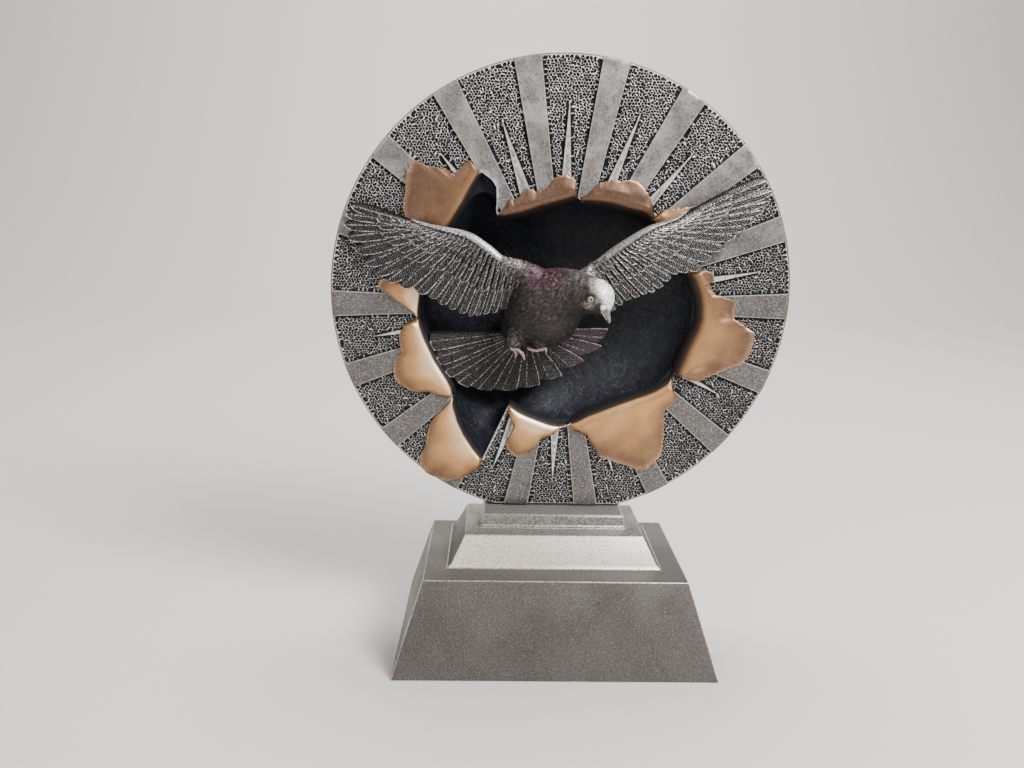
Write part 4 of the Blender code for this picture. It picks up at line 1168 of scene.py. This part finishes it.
class Paint:
    """A node material built step by step."""

    def __init__(self, name, metallic, roughness):
        self.material = bpy.data.materials.new(name)
        self.material.use_nodes = True
        self.tree = self.material.node_tree
        self.shader = self.tree.nodes["Principled BSDF"]
        self.shader.inputs["Metallic"].default_value = metallic
        self.shader.inputs["Roughness"].default_value = roughness
        self.place = self.tree.nodes.new("ShaderNodeTexCoord").outputs["Object"]

    def link(self, source, target):
        """Joins an output to a socket, or sets a number or colour on it."""
        if isinstance(source, (int, float)):
            target.default_value = source
        elif isinstance(source, tuple):
            target.default_value = (*source, 1.0)
        else:
            self.tree.links.new(source, target)

    def attribute(self, name, output="Fac"):
        """A value that the piece carries on its points."""
        node = self.tree.nodes.new("ShaderNodeAttribute")
        node.attribute_name = name
        return node.outputs[output]

    def part(self, vector, axis):
        """One component of a vector."""
        node = self.tree.nodes.new("ShaderNodeSeparateXYZ")
        self.link(vector, node.inputs[0])
        return node.outputs[axis]

    def noise(self, size_mm, detail=2.0, stretch=(1, 1, 1), roughness=0.5, turn=0.0):
        """Noise whose features are about size_mm across, stretched and then turned."""
        mapping = self.tree.nodes.new("ShaderNodeMapping")
        mapping.vector_type = "TEXTURE"
        mapping.inputs["Scale"].default_value = tuple(1 / part for part in stretch)
        mapping.inputs["Rotation"].default_value = (0.0, turn, 0.0)
        self.link(self.place, mapping.inputs[0])
        node = self.tree.nodes.new("ShaderNodeTexNoise")
        node.inputs["Scale"].default_value = 1000.0 / size_mm
        node.inputs["Detail"].default_value = detail
        node.inputs["Roughness"].default_value = roughness
        self.link(mapping.outputs[0], node.inputs["Vector"])
        return node.outputs["Fac"]

    def cells(self, size_mm):
        """Distance to the nearest of scattered spots, size_mm apart."""
        node = self.tree.nodes.new("ShaderNodeTexVoronoi")
        node.inputs["Scale"].default_value = 1000.0 / size_mm
        self.link(self.place, node.inputs["Vector"])
        return node.outputs["Distance"]

    def math(self, operation, a, b=0.0, clamp=False):
        node = self.tree.nodes.new("ShaderNodeMath")
        node.operation = operation
        node.use_clamp = clamp
        self.link(a, node.inputs[0])
        self.link(b, node.inputs[1])
        return node.outputs[0]

    def steps(self, value, low, high, out_low=0.0, out_high=1.0):
        """Eases from out_low to out_high as the value goes from low to high."""
        node = self.tree.nodes.new("ShaderNodeMapRange")
        node.interpolation_type = "SMOOTHSTEP"
        self.link(value, node.inputs["Value"])
        node.inputs["From Min"].default_value = low
        node.inputs["From Max"].default_value = high
        node.inputs["To Min"].default_value = out_low
        node.inputs["To Max"].default_value = out_high
        return node.outputs[0]

    def mix(self, share, a, b):
        """Colour a at share 0, colour b at share 1."""
        node = self.tree.nodes.new("ShaderNodeMix")
        node.data_type = "RGBA"
        self.link(share, node.inputs[0])
        self.link(a, node.inputs[6])
        self.link(b, node.inputs[7])
        return node.outputs[2]

    def color(self, source):
        self.link(source, self.shader.inputs["Base Color"])

    def rough(self, source):
        self.link(source, self.shader.inputs["Roughness"])

    def metal(self, source):
        self.link(source, self.shader.inputs["Metallic"])

    def bump(self, height, depth_mm, strength=1.0):
        """Fine relief, on top of any set before."""
        node = self.tree.nodes.new("ShaderNodeBump")
        node.inputs["Strength"].default_value = strength
        node.inputs["Distance"].default_value = depth_mm * MM
        self.link(height, node.inputs["Height"])
        earlier = self.shader.inputs["Normal"].links
        if earlier:
            self.link(earlier[0].from_socket, node.inputs["Normal"])
        self.link(node.outputs[0], self.shader.inputs["Normal"])


def antique_silver():
    """Silver rays, and the ground's pale net over black pits, both darker towards the bottom as
    painted shade.
    """
    p = Paint("antique_silver", 0.6, 0.4)
    cloud = p.noise(6.0, 4.0, roughness=0.6)
    grain = p.noise(0.55, 3.0, roughness=0.6)
    # Painted shade: the rays and the ridges are painted darker towards the bottom of the disc
    low = p.steps(p.part(p.place, 2), 0.185, 0.115)
    ray = p.mix(p.steps(cloud, 0.32, 0.68), (0.24, 0.23, 0.22), (0.44, 0.425, 0.41))
    ray = p.mix(p.math("MULTIPLY", low, 0.82), ray, (0.095, 0.086, 0.078))
    speck = p.steps(p.noise(0.8, 2.0), 0.60, 0.70)
    ray = p.mix(p.math("MULTIPLY", speck, 0.6), ray, (0.05, 0.048, 0.045))
    ray = p.mix(p.steps(grain, 0.50, 0.70, 0.0, 0.5), ray, (0.52, 0.51, 0.49))
    ray = p.mix(p.steps(grain, 0.47, 0.30, 0.0, 0.5), ray, (0.03, 0.028, 0.026))
    ridge = p.mix(p.steps(grain, 0.35, 0.6), (0.44, 0.43, 0.42), (0.98, 0.96, 0.94))
    ridge = p.mix(p.math("MULTIPLY", low, 0.45), ridge, (0.30, 0.28, 0.255))
    rough_edge = p.steps(p.noise(0.5, 2.0), 0.25, 0.75, -0.06, 0.06)
    pit = p.math("ADD", p.attribute("pit"), rough_edge)
    right = p.steps(p.part(p.place, 0), 0.02, 0.06)
    pit = p.math("ADD", pit, p.math("MULTIPLY", right, 0.02))
    pit = p.steps(pit, 0.035, 0.15)
    ground = p.mix(pit, ridge, (0.008, 0.008, 0.009))
    base = p.mix(p.attribute("ray"), ground, ray)
    worn = p.math("MULTIPLY", p.attribute("worn"), p.steps(grain, 0.3, 0.55, 0.3, 0.9), True)
    p.color(p.mix(worn, base, (0.80, 0.78, 0.75)))
    p.rough(p.steps(cloud, 0.25, 0.75, 0.36, 0.52))
    p.bump(grain, 0.04)
    return p.material


def black_lacquer():
    """Black lining with brushed streaks and thin dust."""
    p = Paint("black_lacquer", 0.0, 0.45)
    sheen = p.steps(p.part(p.place, 0), -0.024, 0.004, 0.14, 0.42)
    p.link(sheen, p.shader.inputs["Specular IOR Level"])
    streak = p.noise(1.5, 5.0, (0.3, 1.0, 1.0), 0.7, 0.8)
    crackle = p.noise(1.2, 5.0, roughness=0.75)
    base = p.mix(p.steps(crackle, 0.50, 0.75), (0.007, 0.008, 0.012), (0.028, 0.034, 0.050))
    base = p.mix(p.steps(streak, 0.55, 0.72, 0.0, 0.8), base, (0.030, 0.037, 0.055))
    dust = p.steps(p.cells(0.9), 0.17, 0.10)
    thin = p.math("MULTIPLY", dust, p.steps(p.noise(5.0), 0.48, 0.60))
    p.color(p.mix(p.math("MULTIPLY", thin, 0.5), base, (0.34, 0.29, 0.24)))
    rough = p.steps(streak, 0.3, 0.7, 0.36, 0.58)
    p.rough(p.math("ADD", rough, p.steps(p.attribute("rise"), 0.90, 0.98, 0.0, 0.35)))
    p.bump(streak, 0.34, 0.9)
    p.bump(crackle, 0.10, 0.8)
    return p.material


def copper_paint():
    """Copper flaps, dark where they rise out of the bowl, with painted light and shade: a pale
    painted highlight near the fold, browner towards the outer edge.
    """
    p = Paint("copper_paint", 0.85, 0.40)
    cloud = p.noise(9.0, 3.0)
    grain = p.noise(0.55, 3.0)
    # Painted light and shade: the tone runs from brown through copper to a pale painted highlight
    tone = p.math("ADD", p.attribute("tone"), p.steps(cloud, 0.3, 0.7, -0.08, 0.08))
    warm = p.mix(p.steps(tone, 0.0, 0.85), (0.165, 0.094, 0.062), (0.65, 0.35, 0.145))
    warm = p.mix(p.steps(tone, 0.75, 1.25), warm, (0.98, 0.66, 0.39))
    warm = p.mix(p.steps(tone, 1.10, 1.50), warm, (1.0, 0.77, 0.53))
    warm = p.mix(p.steps(grain, 0.45, 0.75, 0.0, 0.15), warm, (0.66, 0.42, 0.24))
    warm = p.mix(p.steps(p.noise(1.6, 3.0), 0.62, 0.74, 0.0, 0.2), warm, (0.12, 0.060, 0.038))
    root = p.attribute("root")
    brown = p.mix(p.steps(root, 0.10, 0.55), warm, (0.050, 0.026, 0.018))
    dark = p.mix(p.steps(root, 0.50, 0.90), brown, (0.008, 0.008, 0.010))
    worn = p.math("MULTIPLY", p.attribute("worn"), p.steps(grain, 0.35, 0.6, 0.3, 0.9), True)
    p.color(p.mix(p.math("MULTIPLY", worn, 0.55), dark, (0.80, 0.53, 0.30)))
    p.rough(p.steps(root, 0.3, 0.9, 0.46, 0.55))
    p.metal(p.steps(root, 0.3, 0.9, 0.85, 0.0))
    p.bump(grain, 0.035)
    return p.material


def feather_paint():
    """Dark feathers with pale shafts, rims and barbs; painted light makes the right wing and its
    rims lighter, and painted shade darkens each feather's tucked side and root.
    """
    p = Paint("feather_paint", 0.55, 0.40)
    vane = p.attribute("vane", "Vector")
    along, across, rim_gap = (p.part(vane, axis) for axis in range(3))
    shine = p.math("MAXIMUM", p.steps(across, 0.26, 0.06, 0.0, 0.5), p.steps(rim_gap, 0.40, 0.14))
    cloud = p.noise(7.0, 3.0)
    grain = p.noise(0.5, 3.0)
    sweep = p.math("MULTIPLY", across, -BARB_SWEEP)
    phase = p.math("MULTIPLY", p.math("ADD", along, sweep), 2 * math.pi / BARB_PITCH)
    phase = p.math("ADD", phase, p.steps(p.noise(1.2), 0.2, 0.8, -2.4, 2.4))
    strand = p.steps(p.math("SINE", phase), 0.30, 0.90)
    strand = p.math("MULTIPLY", strand, p.steps(across, 0.10, 0.32))
    # Painted light: the right wing, on the side of the key light, is painted lighter with brighter
    # rims; the paint also grows lighter towards the wing tips
    right = p.steps(p.part(p.place, 0), -0.005, 0.045)
    outer = p.steps(p.math("ABSOLUTE", p.part(p.place, 0)), 0.012, 0.052)
    light = p.mix(cloud, (0.10, 0.092, 0.087), (0.34, 0.322, 0.308))
    light = p.mix(p.math("MULTIPLY", right, 0.6), light, (0.46, 0.455, 0.45))
    dim = p.mix(p.math("MAXIMUM", outer, right), (0.125, 0.113, 0.107), light)
    rim = p.mix(cloud, (0.58, 0.56, 0.54), (1.0, 0.98, 0.96))
    lit = p.math("MULTIPLY", strand, p.steps(grain, 0.36, 0.58, 0.15, 1.0))
    base = p.mix(lit, (0.007, 0.006, 0.006), dim)
    edge = p.math("MULTIPLY", shine, p.steps(grain, 0.40, 0.60, 0.05, 1.0))
    clear = p.steps(p.math("MAXIMUM", outer, right), 0.0, 1.0, 0.58, 0.92)
    base = p.mix(p.math("MULTIPLY", edge, clear), base, rim)
    tinged = p.math("MULTIPLY", p.steps(p.part(p.place, 0), 0.000, 0.007),
                    p.steps(p.part(p.place, 0), 0.020, 0.010))
    tinged = p.math("MULTIPLY", tinged, p.steps(p.part(p.place, 2), 0.113, 0.108))
    base = p.mix(p.math("MULTIPLY", tinged, 0.16), base, (0.16, 0.07, 0.13))
    # Painted shade: near black on each feather's tucked side and root
    p.color(p.mix(p.steps(p.attribute("groove"), 0.2, 0.9), base, (0.004, 0.004, 0.004)))
    p.bump(strand, 0.10)
    p.bump(grain, 0.05)
    return p.material


def plumage():
    """Speckled grey down, a rose neck, and a cream crown with a painted highlight in silver where
    the head faces the light.
    """
    p = Paint("plumage", 0.25, 0.50)
    grain = p.noise(0.62, 4.0, roughness=0.75)
    strand = p.noise(0.80, 3.0, (0.4, 1.0, 1.0), 0.7, -0.6)
    tuft = p.math("ADD", p.math("MULTIPLY", grain, 0.6), p.math("MULTIPLY", strand, 0.4))
    tuft = p.math("ADD", tuft, p.math("MULTIPLY", p.attribute("fluff"), 0.014))
    tone = p.steps(tuft, 0.45, 0.62)
    high = p.steps(p.part(p.place, 2), 0.1125, 0.1285)
    grey = p.mix(tone, p.mix(high, (0.004, 0.003, 0.003), (0.018, 0.014, 0.013)),
                 p.mix(high, (0.024, 0.019, 0.019), (0.150, 0.121, 0.112)))
    spark = p.steps(p.noise(0.60, 4.0, roughness=0.8), 0.57, 0.63)
    grey = p.mix(p.math("MULTIPLY", spark, 0.4), grey,
                 p.mix(high, (0.17, 0.147, 0.140), (0.40, 0.352, 0.333)))
    rose = p.mix(tone, (0.020, 0.008, 0.013), (0.20, 0.080, 0.122))
    base = p.mix(p.math("MULTIPLY", p.attribute("rose"), 0.8, True), grey, rose)
    arm = p.mix(tone, (0.040, 0.034, 0.032), (0.46, 0.40, 0.37))
    base = p.mix(p.attribute("arm"), base, arm)
    pale = p.mix(p.steps(grain, 0.44, 0.60), (0.07, 0.065, 0.062), (0.88, 0.87, 0.86))
    base = p.mix(p.attribute("pale"), base, pale)
    # The crown: cream paint, then a painted highlight in silver on the side that faces the light
    crown = p.attribute("crown")
    cream = p.mix(p.steps(grain, 0.38, 0.62), (0.10, 0.085, 0.065), (0.46, 0.42, 0.35))
    base = p.mix(p.steps(crown, 0.17, 0.56), base, cream)
    silver = p.mix(p.steps(grain, 0.38, 0.54), (0.20, 0.20, 0.20), (0.98, 0.98, 0.98))
    base = p.mix(p.steps(crown, 0.55, 1.0), base, silver)
    p.color(p.mix(p.attribute("socket"), base, (0.014, 0.011, 0.009)))
    p.bump(tuft, 0.16)
    return p.material


def wing_edge_paint():
    """Silver leading edge, warmer and darker at the shoulder."""
    p = Paint("wing_edge_paint", 0.5, 0.40)
    grain = p.noise(0.5, 3.0)
    tone = p.steps(grain, 0.3, 0.65)
    silver = p.mix(tone, (0.12, 0.115, 0.11), (0.72, 0.70, 0.67))
    warm = p.mix(tone, (0.045, 0.034, 0.030), (0.27, 0.205, 0.18))
    root = p.steps(p.attribute("along"), 0.24, 0.02)
    right = p.steps(p.part(p.place, 0), 0.0, 0.01, 0.0, 0.55)
    p.color(p.mix(p.math("MAXIMUM", root, right), silver, warm))
    p.bump(grain, 0.05)
    return p.material


def plain_paint(name, color, metallic, roughness, light=None):
    """A speckled paint between a colour and a lighter one."""
    p = Paint(name, metallic, roughness)
    grain = p.noise(0.5, 3.0)
    p.color(p.mix(p.steps(grain, 0.3, 0.65), color,
                  light or tuple(min(1.0, c * 1.8 + 0.02) for c in color)))
    p.bump(grain, 0.04)
    return p.material


def pewter_paint():
    """Grey pewter of the base."""
    p = Paint("pewter", 0.5, 0.42)
    cloud = p.noise(16.0, 4.0, roughness=0.6)
    grain = p.noise(0.42, 3.0, roughness=0.65)
    body = p.mix(p.steps(cloud, 0.3, 0.7), (0.094, 0.086, 0.077), (0.112, 0.104, 0.094))
    body = p.mix(p.steps(grain, 0.50, 0.74, 0.0, 0.50), body, (0.34, 0.32, 0.295))
    body = p.mix(p.steps(grain, 0.48, 0.30, 0.0, 0.6), body, (0.032, 0.029, 0.026))
    p.color(body)
    p.rough(p.steps(cloud, 0.3, 0.7, 0.38, 0.50))
    p.bump(grain, 0.05)
    return p.material


def panel_paint():
    """Pale worn silver of the tier's sloping front."""
    p = Paint("panel_silver", 0.6, 0.38)
    grain = p.noise(0.50, 3.0, roughness=0.65)
    cloud = p.noise(8.0, 3.0)
    body = p.mix(p.steps(grain, 0.35, 0.60), (0.60, 0.555, 0.475), (1.0, 0.95, 0.85))
    pitted = p.math("MULTIPLY", p.steps(p.noise(0.9, 3.0), 0.60, 0.70), p.steps(cloud, 0.45, 0.65))
    p.color(p.mix(p.math("MULTIPLY", pitted, 0.7), body, (0.12, 0.11, 0.10)))
    p.bump(grain, 0.05)
    return p.material


MATERIALS = {
    "silver": antique_silver(),
    "lacquer": black_lacquer(),
    "copper": copper_paint(),
    "feathers": feather_paint(),
    "plumage": plumage(),
    "wing_edge": wing_edge_paint(),
    "eye_ring": plain_paint("eye_ring_paint", (0.20, 0.175, 0.13), 0.3, 0.36, (0.48, 0.43, 0.34)),
    "eye": plain_paint("eye_paint", (0.012, 0.011, 0.011), 0.0, 0.15),
    "cere": plain_paint("cere_paint", (0.55, 0.53, 0.50), 0.2, 0.40, (0.95, 0.93, 0.90)),
    "beak": plain_paint("beak_paint", (0.055, 0.048, 0.042), 0.5, 0.30, (0.42, 0.40, 0.37)),
    "foot": plain_paint("foot_paint", (0.14, 0.085, 0.080), 0.15, 0.42, (0.46, 0.325, 0.31)),
    "pewter": pewter_paint(),
    "panel": panel_paint(),
    # Painted light: a lighter copy of the pewter for the plinth's upper faces
    "lit_pewter": plain_paint("painted_light_pewter", (0.105, 0.099, 0.090), 0.5, 0.36,
                          (0.33, 0.315, 0.29)),
    "worn_edge": plain_paint("worn_edge_paint", (0.17, 0.162, 0.152), 0.6, 0.38,
                             (0.60, 0.58, 0.55)),
}


# The stage

def build_stage():
    """Pale floor rising into a pale wall, and soft studio light."""
    bpy.ops.object.select_all(action="DESELECT")
    bpy.ops.mesh.primitive_plane_add(size=2.0, location=(0, 0, 0))
    floor = bpy.context.object
    floor.name = "floor"
    floor.scale = FLOOR_SCALE
    floor.location = (0, -0.3, 0)
    bpy.ops.object.transform_apply(location=True, rotation=True, scale=True)
    bpy.ops.object.mode_set(mode="EDIT")
    mesh = bmesh.from_edit_mesh(floor.data)
    for edge in mesh.edges:
        edge.select_set(all(v.co.y > 1.0 for v in edge.verts))
    bmesh.update_edit_mesh(floor.data)
    bpy.ops.mesh.extrude_region_move(TRANSFORM_OT_translate={"value": (0, 0, WALL_HEIGHT)})
    bpy.ops.object.mode_set(mode="OBJECT")
    curve = floor.modifiers.new("curve", "BEVEL")
    curve.width = WALL_CURVE
    curve.segments = 12
    bpy.ops.object.modifier_apply(modifier="curve")
    bpy.ops.object.shade_smooth()
    p = Paint("floor_paint", 0.0, 0.85)
    p.color((0.62, 0.60, 0.58))
    floor.data.materials.append(p.material)
    world = bpy.data.worlds.new("studio")
    world.use_nodes = True
    world.node_tree.nodes["Background"].inputs["Color"].default_value = (1.0, 0.985, 0.965, 1)
    world.node_tree.nodes["Background"].inputs["Strength"].default_value = STUDIO_STRENGTH
    bpy.context.scene.world = world
    for name, settings in LIGHTS.items():
        add_light(name, *settings)


def add_light(name, place, size, power, target):
    """A square soft light."""
    data = bpy.data.lights.new(name, "AREA")
    data.size = size
    data.energy = power
    light = bpy.data.objects.new(name, data)
    light.location = place
    aim = Vector(target) - Vector(place)
    light.rotation_euler = aim.to_track_quat("-Z", "Y").to_euler()
    bpy.context.scene.collection.objects.link(light)


def build_camera():
    """The photograph's camera."""
    ahead = Vector((math.sin(CAMERA_YAW) * math.cos(CAMERA_PITCH),
                    math.cos(CAMERA_YAW) * math.cos(CAMERA_PITCH), -math.sin(CAMERA_PITCH)))
    right = Vector((math.cos(CAMERA_YAW), -math.sin(CAMERA_YAW), 0))
    up = right.cross(ahead)
    across = math.cos(CAMERA_ROLL) * right + math.sin(CAMERA_ROLL) * up
    upward = -math.sin(CAMERA_ROLL) * right + math.cos(CAMERA_ROLL) * up
    data = bpy.data.cameras.new("camera")
    data.lens = CAMERA_LENS
    data.sensor_width = SENSOR
    data.clip_start = 0.01
    camera = bpy.data.objects.new("camera", data)
    turn = Matrix((across, upward, -ahead)).transposed().to_4x4()
    camera.matrix_world = Matrix.Translation(CAMERA_PLACE) @ turn
    bpy.context.scene.collection.objects.link(camera)
    bpy.context.scene.camera = camera


plate = build_plate(MATERIALS["silver"])
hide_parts("relief_disc")
build_bowl(MATERIALS["lacquer"])
for flap_name, (dark_width, flap_painted_light, flap_outline) in FLAPS.items():
    build_flap(flap_name, dark_width, flap_painted_light, flap_outline, MATERIALS["copper"])
for wing_side in WINGS:
    build_wing(wing_side, MATERIALS["feathers"])
build_tail(MATERIALS["feathers"])
build_pigeon()
build_plinth(*(MATERIALS[name] for name in ("pewter", "worn_edge", "panel", "lit_pewter")))
build_stage()
build_camera()
